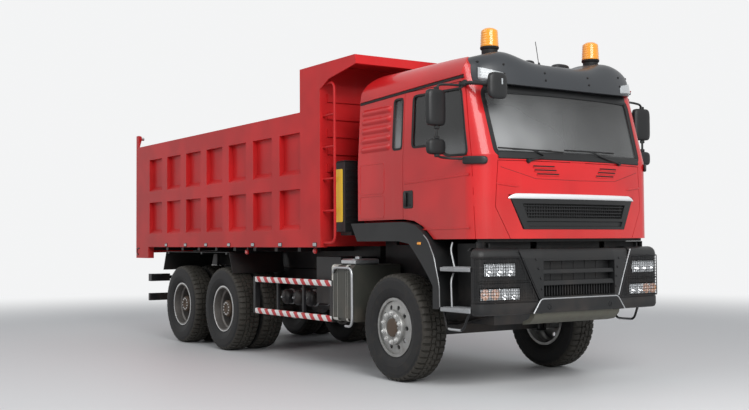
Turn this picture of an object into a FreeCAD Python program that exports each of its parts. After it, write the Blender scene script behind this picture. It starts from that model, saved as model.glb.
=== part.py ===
import FreeCAD, Part
import math
import os
import Sketcher

# A three-axle dump truck: a tilting cab over the front axle, a tipping body raised by one telescopic
# cylinder behind the cab, and a bogie of twin wheels. Millimetres; X points forward, Y to the left, Z up,
# and the origin is on the ground under the middle of the truck's length and width.

SIZES = {
    # Stance: the front axle, the two rear axles and what reaches past them
    "wheelbase": 3825,
    "bogie_spread": 1350,
    "front_overhang": 1490,
    "rear_overhang": 1810,
    # Wheels
    "tyre_radius": 542.5,
    "tyre_width": 312,
    "rim_radius": 298.5,
    "rim_width": 250,
    "rim_wall": 14,
    "front_track_half": 1011,
    "twin_inner_half": 740,
    "twin_outer_half": 1090,
    "disc_wall": 18,
    "hub_radius": 120,
    "hand_hole_radius": 24,
    "hand_hole_circle": 205,
    "spindle_radius": 40,
    "shaft_play": 0.1,
    "seat_gap": 0.3,
    # Steering
    "kingpin_half": 800,
    "kingpin_radius": 22,
    "kingpin_eye_radius": 60,
    "knuckle_plate": 25,
    "knuckle_gap": 6,
    # Axles and springs
    "beam_top": 540,
    "beam_height": 100,
    "beam_depth": 100,
    "axle_tube_radius": 75,
    "differential_radius": 200,
    "pinion_radius": 80,
    "pinion_reach": 360,
    "spring_width": 80,
    "front_spring_half": 750,
    "spring_end_z": 700,
    "leaf_stack": 62,
    "rear_spring_stack": 110,
    "spring_seat_z": 640,
    # Frame
    "frame_half": 430,
    "rail_flange": 80,
    "rail_wall": 10,
    "rail_height": 280,
    "rail_top": 1060,
    "frame_nose": 1330,
    "crossmember": 80,
    "engine_half": 330,
    "engine_front": 600,
    "engine_back": 550,
    "engine_low": 560,
    "engine_top": 1415,
    "radiator_front": 920,
    "radiator_depth": 120,
    "radiator_low": 720,
    "radiator_half": 340,
    "gearbox_back": 1250,
    "gearbox_half": 260,
    "gearbox_top": 900,
    "propshaft_radius": 55,
    # Cab shell
    "cab_back": 640,
    "cab_nose": 1470,
    "nose_sweep": 300,
    "nose_corner": 200,
    "cab_half": 1150,
    "cab_wall": 50,
    "cab_floor_z": 1428,
    "cab_sill_z": 1630,
    "arch_front": 690,
    "belt_z": 2200,
    "seam_z": 2930,
    "roof_z": 3170,
    "screen_lean": 205,
    "side_lean": 40,
    "roof_round": 220,
    "roof_bend": 260,
    "panel_gap": 6,
    "pivot_x": 1280,
    "pivot_z": 1000,
    "pivot_radius": 28,
    "cab_arm_half": 445,
    "cab_arm_wall": 40,
    "cab_arm_radius": 50,
    "cab_arm_root": 920,
    "cab_arm_width": 120,
    # Cab openings, doors and flap
    "door_back": 190,
    "door_front": 1280,
    "door_front_top": 1115,
    "door_top": 2895,
    "hinge_leaf": 100,
    "glass_inset": 14,
    "glass_wall": 8,
    "screen_half": 930,
    "screen_low": 2222,
    "screen_top": 2840,
    "quarter_back": 0,
    "quarter_front": 160,
    "window_low": 2335,
    "window_top": 2850,
    "flap_top": 2146,
    "flap_half": 924,
    "flap_wall": 22,
    "flap_low_half": 802,
    "grille_top": 1835,
    "grille_low": 1515,
    "grille_half": 822,
    "grille_low_half": 670,
    # Visor, beacons, mirrors, inside
    "visor_low": 2810,
    "visor_reach": 1362,
    "visor_half": 1050,
    "visor_top": 3192,
    "visor_dip": 90,
    "kerb_head_x": 1385,
    "kerb_head_depth": 70,
    "kerb_head_inner": 870,
    "kerb_head_outer": 1070,
    "kerb_head_low": 2690,
    "kerb_head_top": 2925,
    "beacon_x": 985,
    "beacon_half": 680,
    "beacon_radius": 90,
    "beacon_foot_radius": 50,
    "beacon_low": 3250,
    "beacon_top": 3455,
    "mirror_half": 1380,
    "mirror_x": 1030,
    "mirror_width": 230,
    "mirror_depth": 90,
    "mirror_low": 2470,
    "mirror_high": 2810,
    "kerb_mirror_low": 2200,
    "kerb_mirror_high": 2350,
    "mirror_arm_radius": 13,
    "mirror_arm_low": 2170,
    "mirror_arm_top": 2860,
    "dash_back": 950,
    "dash_half": 960,
    "dash_low": 1800,
    "dash_top": 2185,
    "seat_half": 610,
    "seat_width": 520,
    "steering_x": 800,
    "steering_z": 2120,
    "steering_radius": 225,
    "steering_grip": 16,
    # Front end
    "bumper_half": 1200,
    "bumper_side_x": 1325,
    "bumper_corner_x": 1350,
    "step_front": 1305,
    "bumper_wall": 40,
    "bumper_low": 720,
    "bumper_top": 1385,
    "bumper_mid_top": 1290,
    "skid_low": 620,
    "lamp_inner": 755,
    "lamp_outer": 1160,
    "headlamp_low": 1070,
    "headlamp_top": 1215,
    "fog_low": 860,
    "fog_top": 980,
    "lamp_recess": 8,
    "fender_wall": 14,
    "fender_top": 1602,
    "fender_flange": 190,
    "fender_front": 834,
    "fender_low": 770,
    "fender_back": 710,
    "fender_inner_half": 560,
    "step_inner": 985,
    "step_wall": 15,
    "step_upper_z": 1165,
    "step_lower_z": 790,
    "step_tread": 38,
    # Chassis sides
    "guard_half": 1200,
    "guard_wall": 30,
    "guard_front": 1120,
    "guard_back": 2940,
    "guard_upper_low": 918,
    "guard_lower_low": 530,
    "guard_height": 68,
    "guard_post": 50,
    "tank_front": 700,
    "tank_back": 1090,
    "tank_half": 1190,
    "tank_inner": 560,
    "tank_low": 550,
    "tank_top": 1160,
    "battery_back": 1700,
    "air_tank_radius": 90,
    "air_tank_z": 750,
    "air_tank_pitch": 280,
    "fuel_back": 2000,
    "mudguard_wall": 6,
    "mudguard_top": 1284,
    "mudguard_low": 1015,
    "mudguard_reach": 650,
    "mudguard_flare": 110,
    "mudguard_half": 1235,
    "mudguard_inner": 470,
    "underrun_z": 590,
    "underrun_height": 110,
    "underrun_half": 1200,
    "underrun_depth": 60,
    "tow_pin_radius": 17.5,
    "rear_lamp_z": 885,
    "rear_lamp_height": 110,
    "rear_lamp_width": 300,
    "duct_front": 900,
    "duct_back": 1120,
    "duct_half": 1150,
    "duct_inner": 900,
    "duct_low": 1520,
    "duct_top": 2280,
    # Tipping body
    "bed_half": 1245,
    "bed_gap": 630,
    "bed_floor_low": 1360,
    "bed_floor_wall": 12,
    "bed_rail_low": 1350,
    "bed_top": 2900,
    "bed_sheet": 15,
    "bed_post_depth": 75,
    "bed_pocket_depth": 60,
    "bed_rear_post": 500,
    "bed_front_post": 450,
    "bed_bay_gap": 196,
    "bed_edge_land": 50,
    "pocket_low": 1550,
    "pocket_mid_top": 2020,
    "pocket_mid_low": 2190,
    "pocket_top": 2670,
    "pocket_slope": 60,
    "bed_front_top": 3395,
    "bed_front_wall": 50,
    "canopy_reach": 750,
    "canopy_depth": 190,
    "canopy_lip": 100,
    "recess_half": 220,
    "recess_depth": 350,
    "recess_top": 2110,
    "recess_wall": 15,
    "bed_beam_low": 1072,
    "bed_cross_height": 60,
    "bed_cross_width": 70,
    "hinge_reach": 6400,
    "hinge_z": 1170,
    "hinge_pin_radius": 35,
    "hinge_lug_radius": 75,
    "hinge_lug_wall": 40,
    "ladder_reach": 240,
    "ladder_half": 1200,
    "ladder_radius": 14,
    "ladder_low": 1400,
    "ladder_top": 3170,
    "gate_wall": 50,
    "gate_half": 1215,
    "gate_low": 1260,
    "gate_gap": 10,
    "gate_top": 2905,
    "gate_rib": 25,
    "gate_hinge_back": 40,
    "gate_hinge_z": 3040,
    "gate_pin_radius": 22,
    "gate_lug_radius": 45,
    "gate_lug_wall": 25,
    # Telescopic cylinder
    "hoist_x": 850,
    "hoist_z": 1100,
    "hoist_closed": 1450,
    "hoist_stroke": 1088,
    "hoist_outer": 110,
    "hoist_step": 15,
    "hoist_play": 0.5,
    "hoist_barrel": 1250,
    "hoist_head": 20,
    "trunnion_radius": 35,
    "trunnion_half": 180,
    "trunnion_wall": 40,
    "eye_radius": 48,
    "eye_width": 100,
    "eye_pin_half": 90,
    "ear_half": 96,
    "ear_wall": 25,
    # Small allowances
    "overrun": 100,
}

doc = FreeCAD.newDocument("dump_truck")
sheet = doc.addObject("Spreadsheet::Sheet", "dims")
for row, (alias, size) in enumerate(SIZES.items(), start=1):
    sheet.set("A%d" % row, str(size))
    sheet.setAlias("A%d" % row, alias)
doc.recompute()


class Length:
    """A size of the sheet or a sum of sizes: the expression that FreeCAD keeps, and its value."""

    def __init__(self, text, value):
        self.text = text
        self.value = value

    def __add__(self, other):
        return join(self, "+", other, self.value + as_length(other).value)

    def __sub__(self, other):
        return join(self, "-", other, self.value - as_length(other).value)

    def __mul__(self, share):
        return join(self, "*", share, self.value * as_length(share).value)

    def __truediv__(self, share):
        return join(self, "/", share, self.value / as_length(share).value)

    def __neg__(self):
        return self * -1

    def __radd__(self, other):
        return as_length(other) + self

    def __rsub__(self, other):
        return as_length(other) - self

    def __rmul__(self, share):
        return self * share


def as_length(value):
    """A plain number as a Length, so that both can stand in one sum."""
    return value if isinstance(value, Length) else Length("%.12g" % value, float(value))


def join(left, sign, right, value):
    return Length("(%s %s %s)" % (as_length(left).text, sign, as_length(right).text), value)


class Sheet:
    """Every size of the table as an attribute."""

    def __getattr__(self, alias):
        return Length("dims." + alias, float(SIZES[alias]))


s = Sheet()


def worked_out(alias, value):
    """Keep a length that Python worked out from the sizes in the sheet too, under its own name."""
    SIZES[alias] = value
    sheet.set("A%d" % len(SIZES), repr(value))
    sheet.setAlias("A%d" % len(SIZES), alias)
    doc.recompute()
    return Length("dims." + alias, value)


def bind(item, name, length):
    item.setExpression(name, as_length(length).text)


def place(item, x, y, z):
    for axis, length in (("x", x), ("y", y), ("z", z)):
        bind(item, "Placement.Base." + axis, length)
    return item


def box(name, across_x, across_y, across_z):
    """A block between two places on each axis."""
    item = doc.addObject("Part::Box", name)
    for side, (low, high) in zip(("Length", "Width", "Height"), (across_x, across_y, across_z)):
        bind(item, side, as_length(high) - low)
    return place(item, across_x[0], across_y[0], across_z[0])


TURNS = {
    "X": FreeCAD.Rotation(FreeCAD.Vector(0, 1, 0), 90),
    "Y": FreeCAD.Rotation(FreeCAD.Vector(1, 0, 0), -90),
    "Z": FreeCAD.Rotation(),
}


def rod(name, axis, start, radius, length):
    """A round bar that starts at a point and runs along X, Y or Z."""
    item = doc.addObject("Part::Cylinder", name)
    bind(item, "Radius", radius)
    bind(item, "Height", length)
    item.Placement.Rotation = TURNS[axis]
    return place(item, *start)


def bar(name, start, end, radius):
    """A round bar between two points, whatever its direction."""
    run = FreeCAD.Vector(*[as_length(b).value - as_length(a).value for a, b in zip(start, end)])
    item = doc.addObject("Part::Cylinder", name)
    bind(item, "Radius", radius)
    squares = ["(%s)^2" % (as_length(b) - a).text for a, b in zip(start, end)]
    item.setExpression("Height", "sqrt(%s)" % " + ".join(squares))
    item.Placement.Rotation = FreeCAD.Rotation(FreeCAD.Vector(0, 0, 1), run)
    return place(item, *start)


PLANES = {
    "XZ": (FreeCAD.Rotation(FreeCAD.Vector(1, 0, 0), 90), "y"),
    "XY": (FreeCAD.Rotation(), "z"),
    "YZ": (FreeCAD.Rotation(FreeCAD.Vector(1, 1, 1), 120), "x"),
}


def edge_between(start, end, radius):
    """A straight edge, or an arc that bulges to the right of its run, or to the left if the radius is negative."""
    if radius is None:
        return Part.LineSegment(start, end)
    run = end - start
    half = run.Length / 2
    side = FreeCAD.Vector(-run.y, run.x, 0).normalize() * math.copysign(1, radius)
    centre = (start + end) / 2 + side * math.sqrt(radius ** 2 - half ** 2)
    first, last = (start, end) if radius > 0 else (end, start)
    angles = [math.atan2(point.y - centre.y, point.x - centre.x) for point in (first, last)]
    circle = Part.Circle(centre, FreeCAD.Vector(0, 0, 1), abs(radius))
    return Part.ArcOfCircle(circle, *angles)


def outline(name, plane, points, at=0):
    """A closed sketch through points held by their distances; a third length is the radius of the next edge."""
    item = doc.addObject("Sketcher::SketchObject", name)
    corners = [FreeCAD.Vector(as_length(point[0]).value, as_length(point[1]).value, 0) for point in points]
    radii = [point[2] if len(point) > 2 else None for point in points]
    values = [None if radius is None else as_length(radius).value for radius in radii]
    item.addGeometry([edge_between(*edge) for edge in zip(corners, corners[1:] + corners[:1], values)], False)
    count = len(points)
    starts = [2 if value is not None and value < 0 else 1 for value in values]
    for n in range(count):
        following = (n + 1) % count
        item.addConstraint(Sketcher.Constraint("Coincident", n, 3 - starts[n], following, starts[following]))
    for corner, point in enumerate(points):
        for kind, length in zip(("DistanceX", "DistanceY"), point):
            value = as_length(length).value
            number = item.addConstraint(Sketcher.Constraint(kind, -1, 1, corner, starts[corner], value))
            bind(item, "Constraints[%d]" % number, length)
        if radii[corner] is not None:
            number = item.addConstraint(Sketcher.Constraint("Radius", corner, abs(values[corner])))
            bind(item, "Constraints[%d]" % number, radii[corner] * math.copysign(1, values[corner]))
    item.Placement.Rotation = PLANES[plane][0]
    bind(item, "Placement.Base." + PLANES[plane][1], at)
    return item


def prism(name, plane, points, low, high, lean=None):
    """An outline given thickness, from one place to another along the plane's own axis."""
    base = outline(name + "_outline", plane, points, high if plane == "XZ" else low)
    item = doc.addObject("Part::Extrusion", name)
    item.Base = base
    item.Solid = True
    if lean is None:
        item.DirMode = "Normal"
        bind(item, "LengthFwd", as_length(high) - low)
    else:
        rise = as_length(high) - low
        item.DirMode = "Custom"
        item.Dir = FreeCAD.Vector(as_length(lean).value, 0, rise.value)
        item.setExpression("LengthFwd", "sqrt((%s)^2 + (%s)^2)" % (as_length(lean).text, rise.text))
    return item


def turned(name, points, x, y, z):
    """A round piece about an axle along Y: points are pairs of distance outboard and radius."""
    base = outline(name + "_outline", "YZ", points)
    item = doc.addObject("Part::Revolution", name)
    item.Source = base
    item.Axis = FreeCAD.Vector(0, 1, 0)
    item.Angle = 360
    item.Solid = True
    return place(item, x, y, z)


def fuse(name, *items):
    item = doc.addObject("Part::MultiFuse", name)
    item.Shapes = list(items)
    item.Refine = True
    return item


def common(name, *items):
    item = doc.addObject("Part::MultiCommon", name)
    item.Shapes = list(items)
    return item


def cut(name, base, *tools):
    item = doc.addObject("Part::Cut", name)
    item.Base = base
    item.Tool = tools[0] if len(tools) == 1 else group(name + "_tools", *tools)
    return item


def group(name, *items):
    """Separate solids that belong together."""
    item = doc.addObject("Part::Compound", name)
    item.Links = list(items)
    return item


def mirrored(name, item):
    """The same piece on the other side of the truck."""
    other = doc.addObject("Part::Mirroring", name)
    other.Source = item
    other.Normal = FreeCAD.Vector(0, 1, 0)
    return other


def pair(name, item):
    return group(name, item, mirrored(name + "_other_side", item))


def both(low, high):
    """From one half-width on the right to the same on the left, or a band on the right side."""
    return (-1 * as_length(high), -1 * as_length(low))


NODES = {}


def node(name, item):
    item.Label = name
    NODES[name] = item
    return item


# Places along the truck, forward of its middle
front_axle = (s.wheelbase + s.bogie_spread + s.rear_overhang - s.front_overhang) / 2
rear_axle_places = {
    "middle": front_axle - s.wheelbase,
    "rear": front_axle - s.wheelbase - s.bogie_spread,
}
bogie_middle = front_axle - s.wheelbase - s.bogie_spread / 2
tail = front_axle - s.wheelbase - s.bogie_spread - s.rear_overhang


def ahead(length):
    """A place a length forward of the front axle."""
    return front_axle + length


def behind(length):
    return front_axle - length


# Tyres: beads between the rim's flanges, then sidewall, shoulder and tread as shares of half width and height
tyre_profile_shares = ((0.97, 0.22), (1.00, 0.45), (0.97, 0.72), (0.88, 0.93), (0.78, 0.985))
tyre_seat = s.rim_radius - s.rim_wall
bead_half = s.rim_width / 2 - s.rim_wall - s.seat_gap


def tyre(name, x, y):
    height = s.tyre_radius - tyre_seat
    half = [(bead_half, tyre_seat), (bead_half, s.rim_radius + s.seat_gap)]
    half += [(s.tyre_width / 2 * u, tyre_seat + height * v) for u, v in tyre_profile_shares]
    points = [(-1 * u, v) for u, v in half] + [(as_length(0), s.tyre_radius)] + list(reversed(half))
    return turned(name, points, x, y, s.tyre_radius)


barrel_drop_share = 0.07
well_shares = (0.45, -0.15)


def rim(name, x, y, side, disc_at):
    """A disc wheel: barrel with its two flanges, and a disc that dishes from the barrel to the hub."""
    edge = s.rim_width / 2
    seat = tyre_seat - s.seat_gap
    well = seat * (1 - barrel_drop_share)
    outer = [
        (-1 * edge, s.rim_radius), (-1 * edge + s.rim_wall, s.rim_radius),
        (-1 * edge + s.rim_wall, seat), (edge * well_shares[1] - s.rim_wall, seat),
        (edge * well_shares[1], well), (edge * well_shares[0], well),
        (edge * well_shares[0] + s.rim_wall, seat), (edge - s.rim_wall, seat),
        (edge - s.rim_wall, s.rim_radius), (edge, s.rim_radius),
    ]
    inner = [(edge, seat - s.rim_wall), (edge * well_shares[0] + s.rim_wall, seat - s.rim_wall),
             (edge * well_shares[0], well - s.rim_wall), (edge * well_shares[1], well - s.rim_wall),
             (edge * well_shares[1] - s.rim_wall, seat - s.rim_wall), (-1 * edge, seat - s.rim_wall)]
    barrel = turned(name + "_barrel", [(side * u, v) for u, v in outer + inner], x, y, s.tyre_radius)
    rim_foot = seat - s.rim_wall / 2
    foot_at = edge - s.disc_wall * 2
    face = s.hand_hole_circle - s.hand_hole_radius * 2
    disc_points = [
        (disc_at, 0), (disc_at + s.disc_wall, 0), (disc_at + s.disc_wall, face),
        (foot_at + s.disc_wall, rim_foot), (foot_at, rim_foot), (disc_at, face),
    ]
    disc = turned(name + "_disc", [(side * u, v) for u, v in disc_points], x, y, s.tyre_radius)
    return barrel, disc


hand_hole_count = 10


def hand_holes(name, x, y, depth):
    holes = []
    for number in range(hand_hole_count):
        angle = 2 * math.pi * number / hand_hole_count
        centre = (x + s.hand_hole_circle * round(math.cos(angle), 6), y,
                  s.tyre_radius + s.hand_hole_circle * round(math.sin(angle), 6))
        holes.append(rod("%s_%d" % (name, number), "Y", centre, s.hand_hole_radius, depth))
    return holes


# Front wheels: the disc stands outboard, and the hub turns on the knuckle's spindle
hub_back = s.kingpin_half + s.kingpin_eye_radius + s.knuckle_plate + s.knuckle_gap * 2
front_disc = s.rim_width / 2 - s.disc_wall
front_hub_end = s.front_track_half + s.rim_width / 2 + s.knuckle_plate


def front_wheel(side_name):
    x, y = front_axle, -1 * s.front_track_half
    node("tyre_front_" + side_name, tyre("front_tyre", x, y))
    barrel, disc = rim("front_rim", x, y, -1, front_disc)
    hub = rod("front_hub", "Y", (x, -1 * front_hub_end, s.tyre_radius), s.hub_radius,
              front_hub_end - hub_back)
    holes = hand_holes("front_hand_hole", x, y - s.rim_width, s.rim_width)
    bore = rod("front_bore", "Y", (x, -1 * front_hub_end + s.knuckle_plate, s.tyre_radius),
               s.spindle_radius + s.shaft_play, front_hub_end)
    solid = cut("front_wheel", fuse("front_wheel_whole", barrel, disc, hub), bore, *holes)
    node("wheel_front_" + side_name, solid)


front_wheel("right")
node("tyre_front_left", mirrored("front_tyre_left", NODES["tyre_front_right"]))
node("wheel_front_left", mirrored("front_wheel_left", NODES["wheel_front_right"]))

# Rear wheels: two rims back to back on one hub, so that the outer one is a deep dish
twin_middle = (s.twin_inner_half + s.twin_outer_half) / 2
twin_disc = (s.twin_outer_half - s.twin_inner_half) / 2 - s.disc_wall
rear_hub_start = s.twin_inner_half - s.rim_width / 2
rear_hub_end = twin_middle + s.hub_radius


def rear_wheels(axle_name, x):
    prefix = axle_name + "_twin"
    tyres = [tyre(prefix + "_tyre_outer", x, -1 * s.twin_outer_half),
             tyre(prefix + "_tyre_inner", x, -1 * s.twin_inner_half)]
    node("tyres_%s_right" % axle_name, group(prefix + "_tyres", *tyres))
    outer = rim(prefix + "_outer", x, -1 * s.twin_outer_half, 1, twin_disc)
    inner = rim(prefix + "_inner", x, -1 * s.twin_inner_half, -1, twin_disc)
    hub = rod(prefix + "_hub", "Y", (x, -1 * rear_hub_end, s.tyre_radius), s.hub_radius,
              rear_hub_end - rear_hub_start)
    holes = hand_holes(prefix + "_hand_hole", x, -1 * twin_middle - s.rim_width / 2, s.rim_width)
    bore = rod(prefix + "_bore", "Y", (x, -1 * twin_middle, s.tyre_radius),
               s.spindle_radius + s.shaft_play, twin_middle)
    whole = fuse(prefix + "_whole", *outer, *inner, hub)
    node("wheels_%s_right" % axle_name, cut(prefix + "_wheels", whole, bore, *holes))
    for kind in ("tyres", "wheels"):
        right = NODES["%s_%s_right" % (kind, axle_name)]
        node("%s_%s_left" % (kind, axle_name), mirrored("%s_%s_left" % (kind, axle_name), right))


for axle_name, x in rear_axle_places.items():
    rear_wheels(axle_name, x)

# Knuckles: a plate with two lugs about the beam's end, the kingpin through them, and the spindle
beam_end = s.kingpin_half + s.kingpin_eye_radius
knuckle_low = s.beam_top - s.beam_height - s.knuckle_gap / 3
knuckle_high = s.beam_top + s.knuckle_gap / 3
plate_inner = beam_end + s.knuckle_gap
plate_band = both(plate_inner, plate_inner + s.knuckle_plate)
lug_band = both(s.kingpin_half - s.kingpin_radius * 2, plate_inner)
knuckle_depth = (front_axle - s.kingpin_radius * 2, front_axle + s.kingpin_radius * 2)
knuckle = fuse(
    "knuckle",
    box("knuckle_plate_box", knuckle_depth, plate_band,
        (knuckle_low - s.knuckle_plate, s.tyre_radius + s.spindle_radius * 2)),
    box("knuckle_lug_low", knuckle_depth, lug_band, (knuckle_low - s.knuckle_plate, knuckle_low)),
    box("knuckle_lug_high", knuckle_depth, lug_band, (knuckle_high, knuckle_high + s.knuckle_plate)),
    rod("kingpin", "Z", (front_axle, -1 * s.kingpin_half, knuckle_low - s.knuckle_plate),
        s.kingpin_radius, knuckle_high - knuckle_low + s.knuckle_plate * 2),
    rod("spindle", "Y", (front_axle, -1 * front_hub_end + s.knuckle_plate * 2, s.tyre_radius),
        s.spindle_radius, front_hub_end - s.knuckle_plate * 2 - plate_inner),
)
node("knuckle_right", knuckle)
node("knuckle_left", mirrored("knuckle_other", knuckle))

# Front axle beam with an eye at each end, under the springs
beam_x = (front_axle - s.beam_depth / 2, front_axle + s.beam_depth / 2)
beam_z = (s.beam_top - s.beam_height, s.beam_top)
beam_reach = s.kingpin_half - s.kingpin_eye_radius / 2
eye_low = s.beam_top - s.beam_height
eye_right = rod("beam_eye_right", "Z", (front_axle, -1 * s.kingpin_half, eye_low),
                s.kingpin_eye_radius, s.beam_height)
pin_hole = rod("beam_bore_right", "Z", (front_axle, -1 * s.kingpin_half, eye_low - s.overrun),
               s.kingpin_radius + s.shaft_play, s.beam_height + s.overrun * 2)
beam = fuse("beam", box("beam_bar", beam_x, (-1 * beam_reach, beam_reach), beam_z),
            eye_right, mirrored("beam_eye_left", eye_right))
node("front_axle", cut("beam_bored", beam, pin_hole, mirrored("beam_bore_left", pin_hole)))

# Rear axles: a tube through each pair of twins, the differential in its middle and its pinion nose
spring_band = both(s.frame_half, s.frame_half + s.spring_width)


def rear_axle(axle_name, x):
    z = s.tyre_radius
    spindle_end = twin_middle - s.knuckle_gap
    shoulder = rear_hub_start - s.knuckle_gap
    seat = box(axle_name + "_seat", (x - s.axle_tube_radius, x + s.axle_tube_radius), spring_band,
               (z, s.spring_seat_z))
    ball = doc.addObject("Part::Sphere", axle_name + "_differential")
    bind(ball, "Radius", s.differential_radius)
    place(ball, x, 0, z)
    back_reach = s.differential_radius + s.crossmember
    return fuse(
        axle_name + "_axle",
        rod(axle_name + "_tube", "Y", (x, -1 * shoulder, z), s.axle_tube_radius, shoulder * 2),
        rod(axle_name + "_spindles", "Y", (x, -1 * spindle_end, z), s.spindle_radius, spindle_end * 2),
        ball,
        rod(axle_name + "_pinion", "X", (x, 0, z), s.pinion_radius, s.pinion_reach),
        rod(axle_name + "_output", "X", (x - back_reach, 0, z), s.propshaft_radius, back_reach),
        seat, mirrored(axle_name + "_seat_left", seat),
    )


axles = [rear_axle(name, x) for name, x in rear_axle_places.items()]
node("rear_axles", group("rear_axle_pair", *axles))

# Leaf springs: a bow over the front axle, and over the bogie a stack pivoted in its middle
front_leaf_shares = ((1.0, 0.0), (0.55, 0.5), (0.16, 1.0))
leaf_lift = s.spring_end_z - s.beam_top - s.leaf_stack / 2
upper = [(share, s.spring_end_z - leaf_lift * drop) for share, drop in front_leaf_shares]
lower = [(share, s.spring_end_z - s.leaf_stack / 3 - (leaf_lift + s.leaf_stack / 6) * drop)
         for share, drop in front_leaf_shares]
bow = [(ahead(s.front_spring_half * x), z) for x, z in upper]
bow += [(behind(s.front_spring_half * x), z) for x, z in reversed(upper)]
bow += [(behind(s.front_spring_half * x), z) for x, z in lower]
bow += [(ahead(s.front_spring_half * x), z) for x, z in reversed(lower)]
front_spring = prism("front_spring", "XZ", bow, *both(s.frame_half - s.rail_flange, s.frame_half))
stack_half = s.bogie_spread / 2 + s.axle_tube_radius
stack_mid_share = 0.3
stack = [(bogie_middle - stack_half, s.spring_seat_z), (bogie_middle + stack_half, s.spring_seat_z),
         (bogie_middle + stack_half, s.spring_seat_z + s.leaf_stack / 2),
         (bogie_middle + stack_half * stack_mid_share, s.spring_seat_z + s.rear_spring_stack),
         (bogie_middle - stack_half * stack_mid_share, s.spring_seat_z + s.rear_spring_stack),
         (bogie_middle - stack_half, s.spring_seat_z + s.leaf_stack / 2)]
rear_spring = prism("rear_spring", "XZ", stack, *spring_band)
node("springs", group("leaf_springs", front_spring, mirrored("front_spring_left", front_spring),
                      rear_spring, mirrored("rear_spring_left", rear_spring)))

# Frame: two channels, their crossmembers, hangers, the cab's pivot and the body's hinge pin
frame_tail = behind(s.hinge_reach) - s.hinge_lug_radius - s.overrun / 4
rail_low = s.rail_top - s.rail_height
rail_band = both(s.frame_half - s.rail_flange, s.frame_half)
rail_hollow = both(s.frame_half - s.rail_flange - s.overrun, s.frame_half - s.rail_wall)
rail_run = (frame_tail, ahead(s.frame_nose))
rail = cut("rail", box("rail_bar", rail_run, rail_band, (rail_low, s.rail_top)),
           box("rail_hollow", (frame_tail - s.overrun, ahead(s.frame_nose) + s.overrun), rail_hollow,
               (rail_low + s.rail_wall, s.rail_top - s.rail_wall)))
inside_half = s.frame_half - s.rail_wall
between_rails = (-1 * inside_half, inside_half)
cross_places = {
    "tail": frame_tail,
    "bogie_back": bogie_middle - s.bogie_spread * 2 / 3,
    "bogie": bogie_middle - s.crossmember / 2,
    "bogie_front": bogie_middle + s.bogie_spread * 3 / 4,
    "middle": behind(s.wheelbase / 2),
    "nose": ahead(s.frame_nose) - s.crossmember * 2,
}
cross_z = (rail_low + s.crossmember, s.rail_top - s.rail_wall)
nose_z = (rail_low, rail_low + s.crossmember)
crosses = [box("cross_" + name, (x, x + s.crossmember), between_rails,
               nose_z if name == "nose" else cross_z) for name, x in cross_places.items()]
hoist_place = behind(s.hoist_x)
hoist_beam = box("hoist_beam", (hoist_place - s.crossmember, hoist_place + s.crossmember),
                 between_rails, (s.rail_top - s.crossmember * 2, s.rail_top - s.rail_wall))
trunnion_inner = s.hoist_outer + s.knuckle_gap
trunnion_block = box("trunnion_block", (hoist_place - s.crossmember, hoist_place + s.crossmember),
                     both(trunnion_inner, trunnion_inner + s.trunnion_wall),
                     (s.rail_top - s.crossmember, s.hoist_z + s.trunnion_radius * 2))
trunnion_bore = rod("trunnion_bore", "Y", (hoist_place, -1 * s.trunnion_half - s.overrun, s.hoist_z),
                    s.trunnion_radius + s.shaft_play, s.trunnion_half * 2 + s.overrun * 2)
barrel_room = rod("barrel_room", "Y", (hoist_place, -1 * trunnion_inner, s.hoist_z),
                  s.hoist_outer + s.knuckle_gap, trunnion_inner * 2)
hanger_x = s.front_spring_half
hangers = [box("hanger_%d" % n, (x - s.crossmember / 2, x + s.crossmember / 2), rail_band,
               (s.spring_end_z, rail_low))
           for n, x in enumerate((ahead(hanger_x) - s.crossmember / 2, behind(hanger_x) + s.crossmember / 2))]
bogie_bracket = box("bogie_bracket", (bogie_middle - s.crossmember * 2, bogie_middle + s.crossmember * 2),
                    rail_band, (s.spring_seat_z, rail_low))
cab_pin = rod("cab_pin", "Y", (ahead(s.pivot_x), -1 * s.cab_arm_half - s.cab_arm_wall - s.knuckle_gap,
                               s.pivot_z), s.pivot_radius,
              (s.cab_arm_half + s.cab_arm_wall + s.knuckle_gap) * 2)
hinge_place = behind(s.hinge_reach)
lug_inner = s.frame_half + s.knuckle_gap
hinge_pin = rod("hinge_pin", "Y", (hinge_place, -1 * lug_inner - s.hinge_lug_wall - s.knuckle_gap,
                                   s.hinge_z), s.hinge_pin_radius,
                (lug_inner + s.hinge_lug_wall + s.knuckle_gap) * 2)
hinge_post_half = s.hinge_lug_radius * 3 / 4
hinge_post = box("hinge_post", (hinge_place - hinge_post_half, hinge_place + hinge_post_half),
                 both(s.frame_half - s.rail_flange / 2, s.frame_half),
                 (s.rail_top - s.rail_wall, s.hinge_z + s.hinge_pin_radius))
right_side = [rail, trunnion_block, *hangers, bogie_bracket, hinge_post]
left_side = [mirrored("frame_left_%d" % n, item) for n, item in enumerate(right_side)]
frame_whole = fuse("frame_whole", *right_side, *left_side, *crosses, hoist_beam, cab_pin, hinge_pin)
node("frame", cut("frame_bored", frame_whole, trunnion_bore, barrel_room))

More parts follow.
